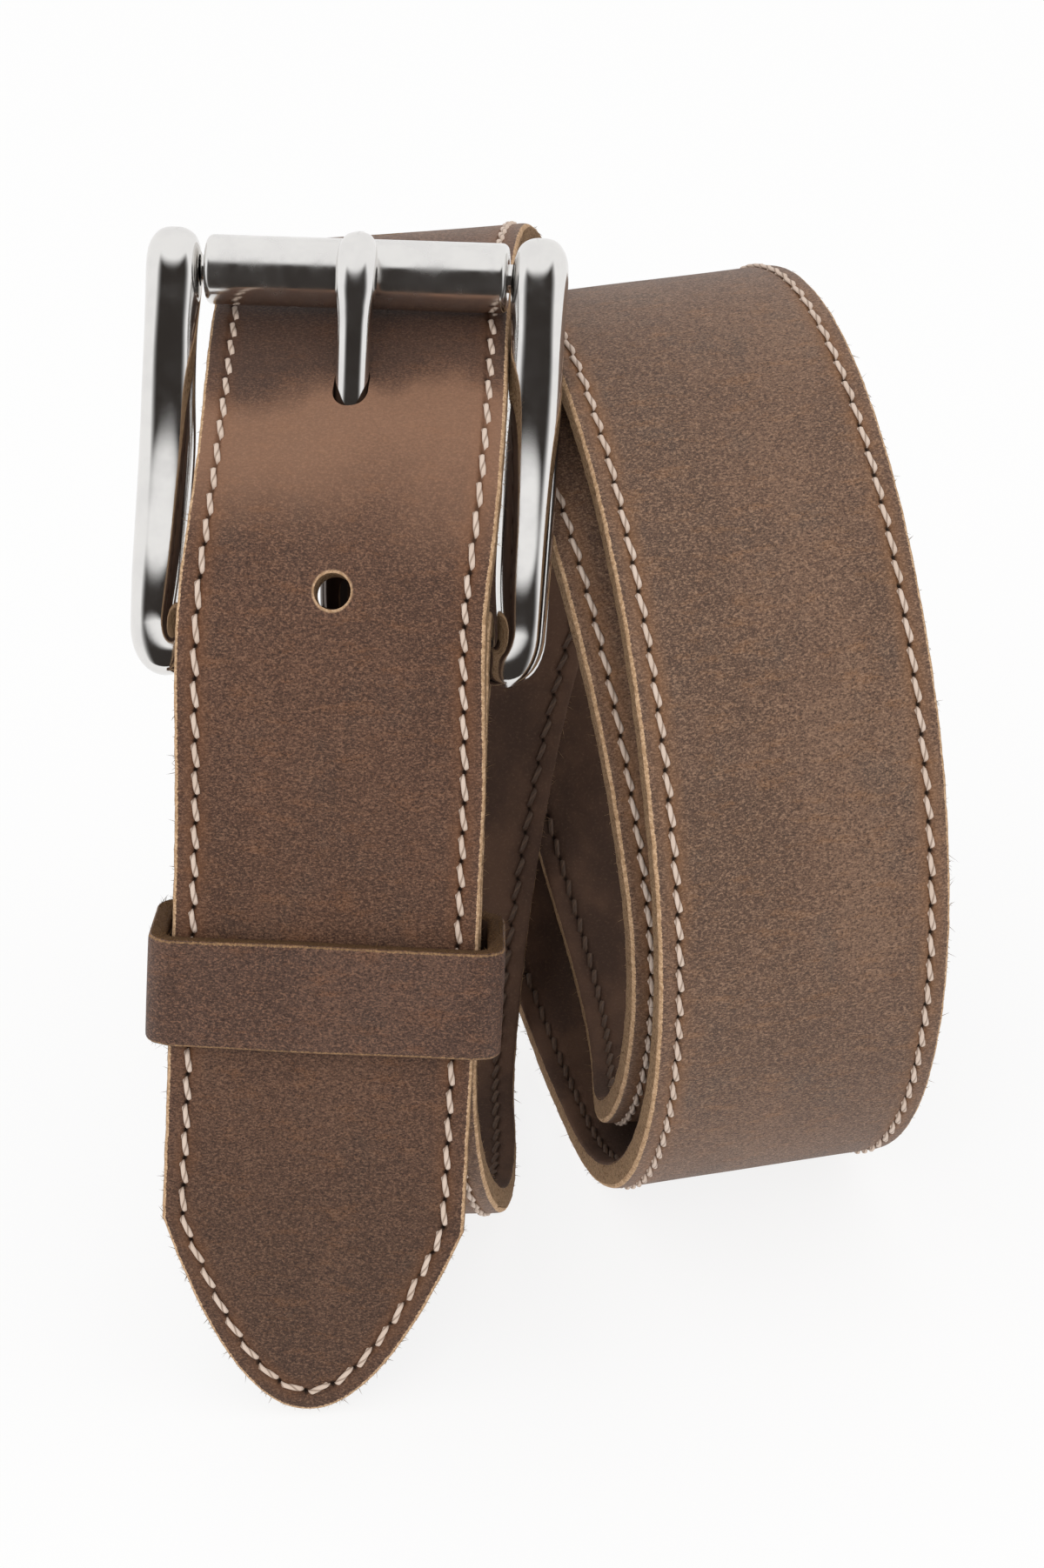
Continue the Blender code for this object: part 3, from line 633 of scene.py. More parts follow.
# Half a cross-section, from the middle of the grain side round the edge to the middle of
# the flesh side: ("f", share of the way in from ISLAND) or ("i", inset in mm), then height.
ISLAND = 4.2 * MM
TOP = THICK / 2 / MM
SECTION = (
    [("f", f, TOP) for f in (1, 0.86, 0.72, 0.58, 0.45, 0.33, 0.22, 0.12, 0.05)]
    + [("i", i, TOP) for i in (4.2, 3.7, 3.35, 3.1, 2.9, 2.7, 2.5, 2.3, 2.05, 1.7, 1.25)]
    + [("i", 0.85, TOP - 0.02), ("i", 0.55, TOP - 0.07), ("i", 0.30, TOP - 0.18)]
    + [("i", 0.12, TOP - 0.36), ("i", 0.02, TOP - 0.65), ("i", -0.04, TOP - 1.1)]
    + [("i", -0.06, 0.3), ("i", -0.05, -0.5), ("i", -0.02, -1.1), ("i", 0.04, -1.5)]
    + [("i", 0.20, 0.15 - TOP), ("i", 0.5, 0.03 - TOP)]
    + [("i", i, -TOP) for i in (1.1, 1.9, 2.4, 2.7, 3.0, 3.6, 4.2)]
    + [("f", f, -TOP) for f in (0.15, 0.45, 0.75, 1)]
)
RIM_COLUMNS = 0.55


def outline(u):
    """(from tip, half width, inward normal) of the pointed end at u from -1 to 1."""
    point = np.stack([TIP * u * u, HALF * u], -1)
    normal = unit(np.stack([np.full_like(u, HALF), -2 * TIP * u], -1))
    square = np.stack([np.zeros_like(u), -np.sign(u)], -1)
    blend = eased(np.clip((np.abs(u) - 0.8) / 0.2, 0, 1))[:, None]
    return point, unit(normal * (1 - blend) + square * blend)


def seam_line(inset):
    """The stitching line round the point as (from tip, across) with its running length."""
    u = np.linspace(0, 1, 200)
    point, normal = outline(u)
    line = point + inset * normal
    line[:, 1] = np.maximum(line[:, 1], 0)
    run = np.concatenate([[0], np.cumsum(np.linalg.norm(np.diff(line, axis=0), axis=1))])
    return line, run


def seam_places():
    """For each side, the stitch holes as (distance along the strap, across)."""
    line, run = seam_line(SEAM_INSET)
    last = PATH.length - TIP - (HEEL + SEAM_START) + run[-1]
    q = np.arange(0, last, STITCH_PITCH)
    from_tip = np.where(q < run[-1], np.interp(q, run, line[:, 0]), TIP + q - run[-1])
    half = np.where(q < run[-1], np.interp(q, run, line[:, 1]), HALF - SEAM_INSET)
    return PATH.length - from_tip, half


def section_points(s, x, h, inset):
    """Places on the strap with seams sunk in and the faces slightly uneven."""
    hole_s, hole_x = seam_places()
    near = np.abs(inset - SEAM_INSET) < SEAM_REACH
    gap = np.full(s.shape, 99 * MM)
    order = np.argsort(hole_s)
    for side in (-1, 1):
        mine = near & (np.sign(x) == side) | near & (x == 0)
        spots = np.where(mine)
        index = np.searchsorted(hole_s[order], s[spots])
        for shift in (-2, -1, 0, 1):
            pick = order[np.clip(index + shift, 0, len(order) - 1)]
            away = np.hypot((s[spots] - hole_s[pick]) * 0.8, x[spots] - side * hole_x[pick])
            gap[spots] = np.minimum(gap[spots], away)
    stitched = s > HEEL + SEAM_START
    groove = np.clip(1 - np.abs(inset - SEAM_INSET) / GROOVE_HALF, 0, 1) * stitched
    pit = np.clip(1 - gap / PIT_RADIUS, 0, 1) * stitched
    up = np.sign(h)
    on_face = np.abs(h) > THICK / 2 - 0.05 * MM
    press = (GROOVE_DEPTH * eased(groove) + PIT_DEPTH * eased(pit)) * on_face
    wave = 0.07 * MM * smooth_noise(s * 90 + x * 60, 1.0)
    wave = wave + 0.04 * MM * smooth_noise(s * 260, x * 90)
    ragged = 0.07 * MM * smooth_noise(s * 2300 + h * 900, 2.0) * (inset < 0.4 * MM)
    x = x + np.sign(x) * (ragged + 0.10 * MM * smooth_noise(s * 70, 4.0) * (inset < 3 * MM))
    bend = (PATH.length - s - HUMP_FROM_TIP) / HUMP_SPREAD
    x = x - HUMP_SHIFT * np.exp(-(bend**2))
    from_lip = np.hypot(s - (PATH.length - LIP_FROM_TIP), x) / LIP_SPREAD
    lip = LIP_RISE * np.exp(-(from_lip**2) / 2)
    return PATH.at(s, x, h - up * press + up * wave * 0.6 + lip), pit


def strap_rows():
    """Distances of the strap's cross-sections, four to a stitch and closer in the fold."""
    hole_s, _ = seam_places()
    shoulder = PATH.length - TIP
    straight = np.sort(hole_s[hole_s < shoulder - STITCH_PITCH / 8])
    marks = [straight + STITCH_PITCH * k / 4 for k in range(-1, 3)]
    marks = np.concatenate(marks)
    marks = marks[marks < shoulder - STITCH_PITCH / 8]
    fold = np.arange(0, straight[0] - STITCH_PITCH / 2, 0.9 * MM)
    return np.concatenate([fold, np.sort(marks), [shoulder]])


def inset_of(kind, value):
    """How far a point of the half section lies from the cut edge."""
    return value * MM if kind == "i" else ISLAND + (HALF - ISLAND) * value


def section_place(kind, value, point, normal, inner):
    """Where one point of the half section falls, from the edge's point and the middle's."""
    if kind == "i":
        return point + value * MM * normal
    start = point + ISLAND * normal
    return start + (inner - start) * value


def build_strap_mesh():
    marks = strap_rows()
    columns = len(SECTION)
    insets = np.array([inset_of(kind, value) for kind, value, _ in SECTION])
    heights = np.array([height * MM for _, _, height in SECTION])
    s = np.repeat(marks[:, None], columns, axis=1)
    grids = [
        (s, *(np.broadcast_to(row, s.shape) for row in (side * (HALF - insets), heights, insets)))
        for side in (1, -1)
    ]
    u = np.linspace(-1, 1, 97)
    point, normal = outline(u)
    nose = ISLAND + 2.5 * MM
    inner = np.stack([nose + (TIP - nose) * np.abs(u), 0 * u], -1)
    places = [section_place(kind, value, point, normal, inner) for kind, value, _ in SECTION]
    cap_s, cap_x = PATH.length - np.array(places)[..., 0].T, np.array(places)[..., 1].T
    grids.append((cap_s, cap_x, np.tile(heights, (len(u), 1)), np.tile(insets, (len(u), 1))))
    points, faces, slots, uv, values = [], [], [], [], {"rim": [], "seam": [], "pit": []}
    start = 0
    for s, x, h, inset in grids:
        place, pit = section_points(s, x, h, inset)
        points.append(place.reshape(-1, 3))
        faces += grid_faces(s.shape[0], columns, start=start)
        slots += [section_slot(j) for j in range(columns - 1)] * (s.shape[0] - 1)
        uv.append(np.stack([s, x], -1).reshape(-1, 2))
        values["rim"].append(np.where(inset < RIM_COLUMNS * MM, 1.0, 0.0).ravel())
        seam = np.clip(1 - np.abs(inset - SEAM_INSET) / (2.2 * MM), 0, 1)
        values["seam"].append(seam.ravel())
        # the pit value also marks where painted shade darkens the stitch pits
        values["pit"].append(pit.ravel())
        start += s.size
    ends = list(range(columns)) + [columns * len(marks) + k for k in range(columns)][::-1]
    faces.append(ends)
    slots.append(1)
    return (
        np.concatenate(points), faces, slots, np.concatenate(uv),
        {key: np.concatenate(value) for key, value in values.items()},
    )


def section_slot(column):
    """Material of the strip after this column: grain, cut edge or flesh side."""
    height = SECTION[column][2]
    if height > TOP - 0.5:
        return 0
    return 2 if height < -1.45 else 1


def round_cutter(name, row, radius, material):
    """A punch that passes right through the leather."""
    middle, along, across, grain = row
    angle = turns_of(40)
    ring = middle + radius * (np.cos(angle)[:, None] * along + np.sin(angle)[:, None] * across)
    return swept(name, [ring + depth * grain for depth in (-THICK, THICK)], material)


def fold_slot():
    """A cutter with rounded corners for the slot in the fold."""
    c, s = soft_ring(40, 0.35)
    middle, half = (SLOT_RUN[1] + SLOT_RUN[0]) / 2, (SLOT_RUN[1] - SLOT_RUN[0]) / 2
    ring = BAR + (SLOT_HALF * c)[:, None] * HINGE + (middle + half * s)[:, None] * BUCKLE_UP
    rings = [ring + depth * BUCKLE_OUT for depth in (-SLOT_DEPTH, SLOT_DEPTH)]
    return swept("fold_slot", rings, FLESH)


def build_strap():
    points, faces, slots, uv, values = build_strap_mesh()
    obj = make_object("belt_strap", points, faces, [GRAIN, EDGE, FLESH], slots, uv, values)
    tidy_mesh(obj, 0.004 * MM)
    cutters = []
    for i in range(HOLE_COUNT):
        if i == HOLE_IN_USE:
            for lift in (0.0, 1.3, HOLE_LIFT):
                cutters.append(swept(f"prong_path_{lift:.0f}", prong_rings(PRONG_GAP, lift), FLESH))
        else:
            row = PATH.row(PATH.length - FIRST_HOLE - HOLE_PITCH * i)
            cutters.append(round_cutter(f"punch_{i}", row, HOLE_RADIUS, EDGE))
    return carve(obj, cutters + [fold_slot()])


# ---- stitches


def stitch_rings(start, end, height, up, around, steps):
    """One two-ply stitch from hole to hole, dipping into the leather at both ends."""
    t = np.linspace(0, 1, steps)
    s = start[0] + (end[0] - start[0]) * t
    x = start[1] + (end[1] - start[1]) * t
    run = unit(np.array([end[0] - start[0], end[1] - start[1]]))
    rise = np.clip(np.minimum(t, 1 - t) / 0.14, 0, 1)
    dip = eased(rise)
    thick = THREAD_RADIUS * (0.78 + 0.22 * dip)
    middle = height + up * (0.16 * MM * dip - 0.55 * MM * (1 - dip))
    angle = turns_of(around)
    twist = 2 * np.pi * 0.8 * t[:, None]
    lobes = 1 + PLY_DEPTH * np.cos(2 * (angle[None, :] - twist))
    radius = thick[:, None] * lobes
    side = radius * np.cos(angle) * 1.06
    lift = radius * np.sin(angle) * 0.86
    ring_s = s[:, None] - side * run[1]
    ring_x = x[:, None] + side * run[0]
    # ridge-to-groove value that drives the painted shade between the plies
    shade = (lobes - 1 + PLY_DEPTH) / 2 / PLY_DEPTH
    return PATH.at(ring_s, ring_x, middle[:, None] + lift), shade


def build_stitches(name, material, up, around, steps):
    hole_s, hole_x = seam_places()
    height = up * (THICK / 2 - 0.02 * MM)
    points, faces, lay = [], [], []
    start = 0
    for side in (-1, 1):
        for k in range(len(hole_s) - 1):
            low = np.array([hole_s[k], side * hole_x[k]])
            high = np.array([hole_s[k + 1], side * hole_x[k + 1]])
            run = unit(low - high)
            aside = STITCH_SLANT * np.array([-run[1], run[0]])
            gap = 0.30 * MM * run
            jitter = RANDOM.uniform(-0.05, 0.05, 2) * MM
            first = high + gap - aside + jitter
            last = low - gap + aside - jitter
            rings, shade = stitch_rings(first, last, height, up, around, steps)
            points.append(rings.reshape(-1, 3))
            lay.append(shade.ravel())
            faces += grid_faces(steps, around, wrap=True, start=start)
            faces.append(tuple(range(start, start + around))[::-1])
            end = start + (steps - 1) * around
            faces.append(tuple(range(end, end + around)))
            start += steps * around
    obj = make_object(
        name, np.concatenate(points), faces, [material], values={"lay": np.concatenate(lay)}
    )
    return tidy_mesh(obj)


# ---- loose fibres

STRAP_FIBRES = 6400
TIP_FIBRES = 520
KEEPER_FIBRES = 900
TOP_SHARE = 0.78


def fibre_tufts(name, base, outward, sideways, material, mean_length):
    """Short tapering fibres that stand out of a cut edge, each a closed three-sided spike."""
    count = len(base)
    length = np.clip(RANDOM.exponential(mean_length, count), 0.15 * MM, 1.5 * MM)[:, None]
    lean = RANDOM.normal(0, 0.75, (count, 1)) * sideways
    other = RANDOM.normal(0, 0.45, (count, 1)) * np.cross(outward, sideways)
    ahead = unit(outward + lean + other)
    first = unit(np.cross(ahead, sideways + 0.3 * outward))
    second = np.cross(ahead, first)
    radius = RANDOM.uniform(0.03, 0.075, (count, 1)) * MM
    root = base - 0.08 * MM * outward
    corners = [root + radius * (math.cos(t) * first + math.sin(t) * second) for t in (0, 2.1, 4.2)]
    curl = RANDOM.normal(0, 0.3, (count, 1)) * sideways * length
    points = np.stack(corners + [root + ahead * length + curl], 1).reshape(-1, 3)
    faces = []
    for k in range(count):
        a, b, c, tip = range(4 * k, 4 * k + 4)
        faces += [(c, b, a), (a, b, tip), (b, c, tip), (c, a, tip)]
    return make_object(name, points, faces, [material])


def strap_fibres():
    """Fibres along both cut edges of the strap and round its point."""
    s = RANDOM.uniform(HEEL, PATH.length - TIP, STRAP_FIBRES)
    side = RANDOM.choice((-1.0, 1.0), STRAP_FIBRES)
    heights = (-THICK / 2 + 0.15 * MM, THICK / 2 - 0.25 * MM)
    h = RANDOM.uniform(*heights, STRAP_FIBRES)
    straight = PATH.at(s, side * (HALF + 0.02 * MM), h)
    _, along, across, _ = PATH.row(s)
    u = RANDOM.uniform(-1, 1, TIP_FIBRES)
    point, inward = outline(u)
    tip_h = RANDOM.uniform(*heights, TIP_FIBRES)
    _, tip_along, tip_across, _ = PATH.row(PATH.length - point[:, 0])
    tip = PATH.at(PATH.length - point[:, 0], point[:, 1], tip_h)
    tip_out = inward[:, :1] * tip_along - inward[:, 1:] * tip_across
    base = np.vstack([straight, tip])
    outward = np.vstack([side[:, None] * across, tip_out])
    sideways = np.vstack([along, np.cross(tip_out, np.cross(tip_along, tip_across))])
    return fibre_tufts("strap_edge_fibres", base, outward, sideways, EDGE, 0.36 * MM)


def keeper_fibres():
    """Fibres that curl off the keeper's upper and lower cut edges."""
    middle, along, across, grain = PATH.row(PATH.length - KEEPER_FROM_TIP)
    inner, outer = keeper_loop(0.0), keeper_loop(KEEPER_THICK)
    pick = RANDOM.randint(0, len(inner), KEEPER_FIBRES)
    share = RANDOM.uniform(0.1, 0.95, (KEEPER_FIBRES, 1))
    place = inner[pick] * (1 - share) + outer[pick] * share
    end = np.where(RANDOM.uniform(0, 1, (KEEPER_FIBRES, 1)) < TOP_SHARE, -1.0, 1.0)
    base = middle + place[:, :1] * across + place[:, 1:] * grain
    base = base + end * (KEEPER_HEIGHT / 2 - 0.05 * MM) * along
    outward = end * along + 0 * base
    sideways = unit(place[:, :1] * across + place[:, 1:] * grain)
    return fibre_tufts("keeper_edge_fibres", base, outward, sideways, KEEPER_FUZZ, 0.42 * MM)


# ---- buckle


HINGE = np.array(JOINTS["buckle_pivot"]["axis"])
ROLLER_CENTRE = np.array(JOINTS["roller_spin"]["pos_m"]) + BUCKLE_SHIFT * HINGE
BUCKLE_UP = across_from(ROLLER_CENTRE - BAR, HINGE)
BUCKLE_OUT = np.cross(HINGE, BUCKLE_UP)


def on_buckle(x, a, b):
    """A place across, up from the heel bar, and out from the buckle's plane."""
    x, a, b = (np.asarray(v)[..., None] for v in (x, a, b))
    return BAR + (x + BUCKLE_SHIFT) * HINGE + a * BUCKLE_UP + b * BUCKLE_OUT


def soft_ring(count, power):
    """Cosines and sines of a section between an ellipse and a rounded square."""
    angle = turns_of(count)
    c, s = np.cos(angle), np.sin(angle)
    return np.copysign(np.abs(c) ** power, c), np.copysign(np.abs(s) ** power, s)


# Arm sections from the head down: up from the bar, out, inner face, outer face, height (mm)
ARM = (
    (57.3, 0.9, 23.9, 25.1, 1.2),
    (56.9, 0.9, 22.6, 26.4, 3.6),
    (56.0, 0.95, 21.6, 27.3, 5.6),
    (54.4, 0.95, 21.0, 28.0, 7.1),
    (52, 0.9, 20.6, 28.2, 7.7),
    (48.5, 0.8, 20.7, 28.1, 7.3),
    (43, 0.45, 20.95, 28.0, 6.6),
    (36, -0.35, 20.85, 28.0, 6.0),
    (28, -0.8, 20.4, 27.9, 5.8),
    (20, -0.65, 20.4, 27.8, 6.0),
    (11, -0.2, 20.5, 27.7, 6.4),
    (4.2, -0.4, 21.1, 27.5, 6.2),
)
CORNER = 4.2 * MM
CORNER_DROP = 1.0 * MM


def smooth_table(table, steps):
    """Rows drawn through a table's rows without corners."""
    table = np.array(table, dtype=float)
    padded = np.vstack([2 * table[0] - table[1], table, 2 * table[-1] - table[-2]])
    rows = []
    for i in range(1, len(padded) - 2):
        a, b, c, d = padded[i - 1 : i + 3]
        for t in np.arange(steps) / steps:
            rows.append(
                0.5 * (2 * b + (c - a) * t + (2 * a - 5 * b + 4 * c - d) * t**2
                       + (3 * b - a - 3 * c + d) * t**3)
            )
    rows.append(table[-1])
    return np.array(rows)


def build_frame():
    c, s = soft_ring(48, 0.82)
    arm = smooth_table(ARM, 6) * MM
    half = [((near + far) / 2, a, b, far - near, h, 0.0) for a, b, near, far, h in arm[:-1]]
    _, low, out, near, far, tall = (0.0, *arm[-1])
    for t in np.linspace(0, 1, 14):
        turn = math.pi / 2 * t
        x = (near + far) / 2 - CORNER * (1 - math.cos(turn))
        a = low * (1 - math.sin(turn)) - CORNER_DROP * math.sin(2 * turn)
        width = far - near + (2 * BAR_RADIUS - far + near) * t**3
        height = tall + (2 * BAR_RADIUS - tall) * t**3
        half.append((x, a, out * (1 - t), width, height, turn))
    rings = []
    for hand, part in ((1, half), (-1, half[::-1])):
        for x, a, b, width, height, turn in part:
            side = hand * math.cos(turn) * HINGE - math.sin(turn) * BUCKLE_UP
            centre = on_buckle(hand * x, a, b)
            outwards = (height / 2 * s)[:, None] * BUCKLE_OUT
            rings.append(centre + (width / 2 * c)[:, None] * side + outwards)
    frame_piece = swept("buckle_frame_polished", rings, STEEL)
    pin = turned_piece(
        "roller_pin", ROLLER_CENTRE, [(-23.5, 0), (-23.5, 1.9), (23.5, 1.9), (23.5, 0)], STEEL, 32
    )
    tidy_mesh(pin, 0.001 * MM)
    pin.parent = frame_piece
    return frame_piece


def turned_piece(name, centre, profile, material, count=96, axis=None):
    """An outline of (along the axis, radius) in millimetres, spun round the axis.

    An outline that comes back to its start is a ring; its doubled points are joined later.
    """
    axis = HINGE if axis is None else unit(axis)
    first = unit(np.cross(axis, (0.3, 0.5, 0.8)))
    second = np.cross(axis, first)
    angle = turns_of(count)
    around = np.cos(angle)[:, None] * first + np.sin(angle)[:, None] * second
    rings = [centre + p * MM * axis + r * MM * around for p, r in profile]
    return swept(name, rings, material, closed_ends=profile[0] != profile[-1])


def build_roller():
    """A tube of rolled sheet with softly turned-in ends."""
    half, radius, bore = ROLLER_LENGTH / MM / 2, ROLLER_RADIUS / MM, 2.25
    end = [(half - 0.9 + 0.9 * math.sin(t), radius - 0.9 + 0.9 * math.cos(t))
           for t in np.linspace(0, math.pi / 2, 9)]
    inner = [(half - 0.25, bore + 0.05), (half - 1.4, bore)]
    barrel = [(p, radius) for p in (0.0, half / 2, half - 3.0, half - 1.3, half - 1.05)]
    side = barrel + end + [(half, 3.3), (half - 0.05, bore + 0.3)] + inner
    profile = side + [(-p, r) for p, r in reversed(side[1:])] + side[:1]
    piece = turned_piece("roller_polished", ROLLER_CENTRE, profile, ROLLER_STEEL, 128)
    return tidy_mesh(piece, 0.001 * MM)


# Prong sections: up from the bar, out, width, height (millimetres)
PRONG = (
    (2.5, 0.2, 5.0, 3.9),
    (9, 1.2, 6.3, 4.1),
    (18, 2.6, 6.0, 4.2),
    (32, 4.7, 4.5, 4.3),
    (42, 6.45, 4.5, 4.4),
    (45.2, 7.1, 4.8, 4.5),
    (48.2, 7.6, 5.5, 4.6),
    (51.0, 7.65, 5.5, 4.6),
    (53.6, 7.15, 5.0, 4.3),
    (55.2, 6.6, 3.7, 3.3),
    (55.9, 6.3, 1.6, 1.4),
)


def prong_rings(grow=0.0, lift=0.0):
    """The prong's sections, thickened by grow and swung outwards by lift degrees."""
    c, s = soft_ring(36, 0.92)
    turn = math.tan(math.radians(lift))
    rings = []
    for a, b, width, height in smooth_table(PRONG, 7) * MM:
        centre = on_buckle(PRONG_SIDE, a, b + a * turn)
        side, out = width / 2 + grow, height / 2 + grow
        rings.append(centre + (side * c)[:, None] * HINGE + (out * s)[:, None] * BUCKLE_OUT)
    return rings


def build_prong():
    prong = swept("prong_polished", prong_rings(), PRONG_STEEL)
    bore, rim = BAR_RADIUS / MM + 0.3, 4.4
    profile = [(2.1, bore), (2.5, bore + 0.4), (2.5, rim - 0.4), (2.1, rim),
               (-2.1, rim), (-2.5, rim - 0.4), (-2.5, bore + 0.4), (-2.1, bore), (2.1, bore)]
    eye = turned_piece("prong_eye", on_buckle(PRONG_SIDE, 0, 0), profile, PRONG_STEEL, 48)
    tidy_mesh(eye, 0.001 * MM)
    eye.parent = prong
    return prong


# ---- keeper


def keeper_loop(grow, count=160):
    """Points round the keeper's opening, moved outwards by grow."""
    low_x, high_x = -HALF - SIDE_SLACK - grow, HALF + SIDE_SHIFT + SIDE_SLACK + grow
    low_h, high_h = -THICK / 2 - STACK - KEEPER_SLACK - grow, THICK / 2 + KEEPER_SLACK + grow
    places = (high_x, high_h), (low_x, high_h), (low_x, low_h), (high_x, low_h)
    corner = KEEPER_CORNER + grow
    sides = [high_h - low_h - 2 * corner, high_x - low_x - 2 * corner]
    pieces = []
    for k, (x, h) in enumerate(places):
        cx = x - math.copysign(corner, x)
        ch = h - corner if h == high_h else h + corner
        angle = np.pi / 2 * (k + np.linspace(0, 1, count // 8))
        arc = np.stack([cx + corner * np.cos(angle), ch + corner * np.sin(angle)], -1)
        run = sides[(k + 1) % 2]
        step = np.linspace(0, 1, count // 8 + 2)[1:-1, None]
        ahead = np.array([-math.sin(angle[-1]), math.cos(angle[-1])])
        pieces += [arc, arc[-1] + step * run * ahead]
    return np.vstack(pieces)


def build_keeper():
    """A strip of hide bent round the layers: rounded shoulders, raw edges above and below."""
    row = PATH.row(PATH.length - KEEPER_FROM_TIP)
    middle, along, across, grain = row
    half = KEEPER_HEIGHT / 2 / MM
    wall = KEEPER_THICK / MM
    rim_side = [
        (half - 0.5, wall - 0.02), (half - 0.22, wall - 0.12), (half - 0.05, wall - 0.34),
        (half, wall - 0.7), (half + 0.02, wall * 0.5), (half, 0.45), (half - 0.15, 0.12),
    ]
    section = [(k, wall) for k in np.linspace(-half + 0.9, half - 0.9, 13)] + rim_side
    section += [(k, 0.0) for k in np.linspace(half - 0.5, -half + 0.5, 7)]
    section += [(-k, depth) for k, depth in reversed(rim_side)]
    inner, outer = keeper_loop(0.0), keeper_loop(KEEPER_THICK)
    count = len(inner)
    lengths = np.concatenate([[0], np.cumsum(np.linalg.norm(np.diff(outer, axis=0), axis=1))])
    angle = turns_of(count)
    rings, uv, rim = [], [], []
    for run, depth in section:
        share = depth / wall
        place = inner * (1 - share) + outer * share
        belly = 0.10 * MM * (1 - (run / half) ** 2) * share
        front = np.clip(place[:, 1] / outer[:, 1].max(), 0, 1)
        place = place + belly * unit(place) * front[:, None]
        sway = run * MM + 0.16 * MM * smooth_noise(3 * angle + 0.4 * run, 1.5)
        ragged = 0.06 * MM * smooth_noise(160 * angle + depth * 4, 0.7) * (abs(run) > half - 0.1)
        ring = middle + (sway + ragged)[:, None] * along
        rings.append(ring + place[:, :1] * across + place[:, 1:] * grain)
        uv.append(np.stack([np.full(count, (run + 40) * MM), lengths + 0.37], -1))
        rim.append(np.full(count, 1.0 if wall - 0.3 < depth < wall - 0.05 else 0.0))
    points = np.array(rings)
    slots = []
    for one, two in zip(section, section[1:] + section[:1]):
        depth = (one[1] + two[1]) / 2
        flat = max(abs(one[0]), abs(two[0])) < half - 0.3
        slots += [0 if depth > wall - 0.3 else (2 if depth < 0.1 and flat else 1)] * count
    faces = grid_faces(len(section), count, wrap=True, loop=True)
    plain = np.zeros(len(section) * count)
    values = {"rim": np.concatenate(rim), "seam": plain, "pit": plain}
    obj = make_object(
        "keeper_leather", points.reshape(-1, 3), faces, [KEEPER_GRAIN, KEEPER_EDGE, FLESH],
        slots, np.concatenate(uv), values,
    )
    return tidy_mesh(obj)


def build_staple():
    """A round wire staple over the join at the keeper's back."""
    middle, along, across, grain = PATH.row(PATH.length - KEEPER_FROM_TIP)
    back = -THICK / 2 - STACK - KEEPER_SLACK
    crown = back - KEEPER_THICK - 0.55 * MM
    half, bend, wire = 4.0 * MM, 0.9 * MM, 0.4 * MM
    line = [(-half, back + 0.1 * MM, 0.0)]
    line += [(-half + bend * (1 - math.cos(t)), crown + bend * (1 - math.sin(t)), t)
             for t in np.linspace(0, math.pi / 2, 8)]
    line += [(-x, h, math.pi - t) for x, h, t in reversed(line)]
    angle = turns_of(16)
    rings = []
    for x, h, t in line:
        normal = math.cos(t) * across + math.sin(t) * grain
        centre = middle + x * across + h * grain
        ring = wire * (np.cos(angle)[:, None] * normal + np.sin(angle)[:, None] * along)
        rings.append(centre + ring)
    return swept("staple_wire", rings, STEEL)


# ---- screws

SCREW_DROPS = {"upper": 18.0 * MM, "lower": 29.0 * MM}
HEAD_CLEARANCE = 0.6


def head_profile(start, sign):
    """The rounded outline of a head, from its seat outwards."""
    steps = ((0.0, 3.9), (0.3, 4.2), (0.6, 4.1), (0.85, 3.6), (1.0, 2.4), (1.0, 0.2))
    return [(start + sign * rise, radius) for rise, radius in steps]


def build_screws():
    """Two-part screws: domed head with a driver slot in front, flat post head behind."""
    front = THICK / MM / 2 + HEAD_CLEARANCE
    back = front - 2 * THICK / MM - RETURN_GAP / MM - 2 * HEAD_CLEARANCE
    pieces = []
    for place, drop in SCREW_DROPS.items():
        middle, along, across, grain = PATH.row(HEEL + drop)
        screw = [(back + 1.4, 0.2), (back + 1.4, 1.3), (front, 1.3)] + head_profile(front, 1)
        post = [(back + 0.6, 0.2), (back + 0.6, 1.6), (front - 0.3, 1.6), (front - 0.3, 2.2),
                (back, 2.2)] + head_profile(back, -1)
        for name, profile in ((f"screw_{place}", screw), (f"screw_post_{place}", post)):
            piece = turned_piece(f"{name}_steel", middle, profile, STEEL, 64, grain)
            face = profile[-1][0] * MM
            wide = np.array(((-4.5, -0.45), (4.5, -0.45), (4.5, 0.45), (-4.5, 0.45))) * MM
            sign = math.copysign(1, face)
            slot = [middle + (face + sign * depth * MM) * grain
                    + wide[:, :1] * (0.8 * across + 0.6 * along)
                    + wide[:, 1:] * (0.8 * along - 0.6 * across) for depth in (-0.45, 0.6)]
            cutter = swept(f"{name}_slot", slot, STEEL)
            pieces.append((carve(piece, [cutter]), name))
    return pieces


# ---- assembly


def crisp(obj, degrees=40):
    obj.data.shade_smooth()
    obj.data.set_sharp_from_angle(angle=math.radians(degrees))


def place_all():
    strap = build_strap()
    crisp(strap, 50)
    front = build_stitches("needle_stitches", THREAD, 1, 10, 12)
    back = build_stitches("bobbin_stitches", BACK_THREAD, -1, 8, 8)
    placed = [
        (strap, "belt", "strap"),
        (front, "belt", "needle_thread"),
        (back, "belt", "bobbin_thread"),
        (build_frame(), "buckle", "buckle_frame"),
        (build_roller(), "roller", "buckle_roller"),
        (build_prong(), "prong", "buckle_prong"),
        (build_keeper(), "keeper_loop", "keeper"),
        (build_staple(), "keeper_loop", "keeper_staple"),
    ]
    placed += [(piece, "belt", node) for piece, node in build_screws()]
    for piece, parent in ((strap_fibres(), strap), (keeper_fibres(), placed[6][0])):
        piece.parent = parent
    for piece, body, node in placed:
        if node.startswith(("buckle", "screw", "keeper_staple")):
            crisp(piece)
            for child in piece.children:
                crisp(child)
        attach(piece, body)
        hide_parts(node)


# ---- stage


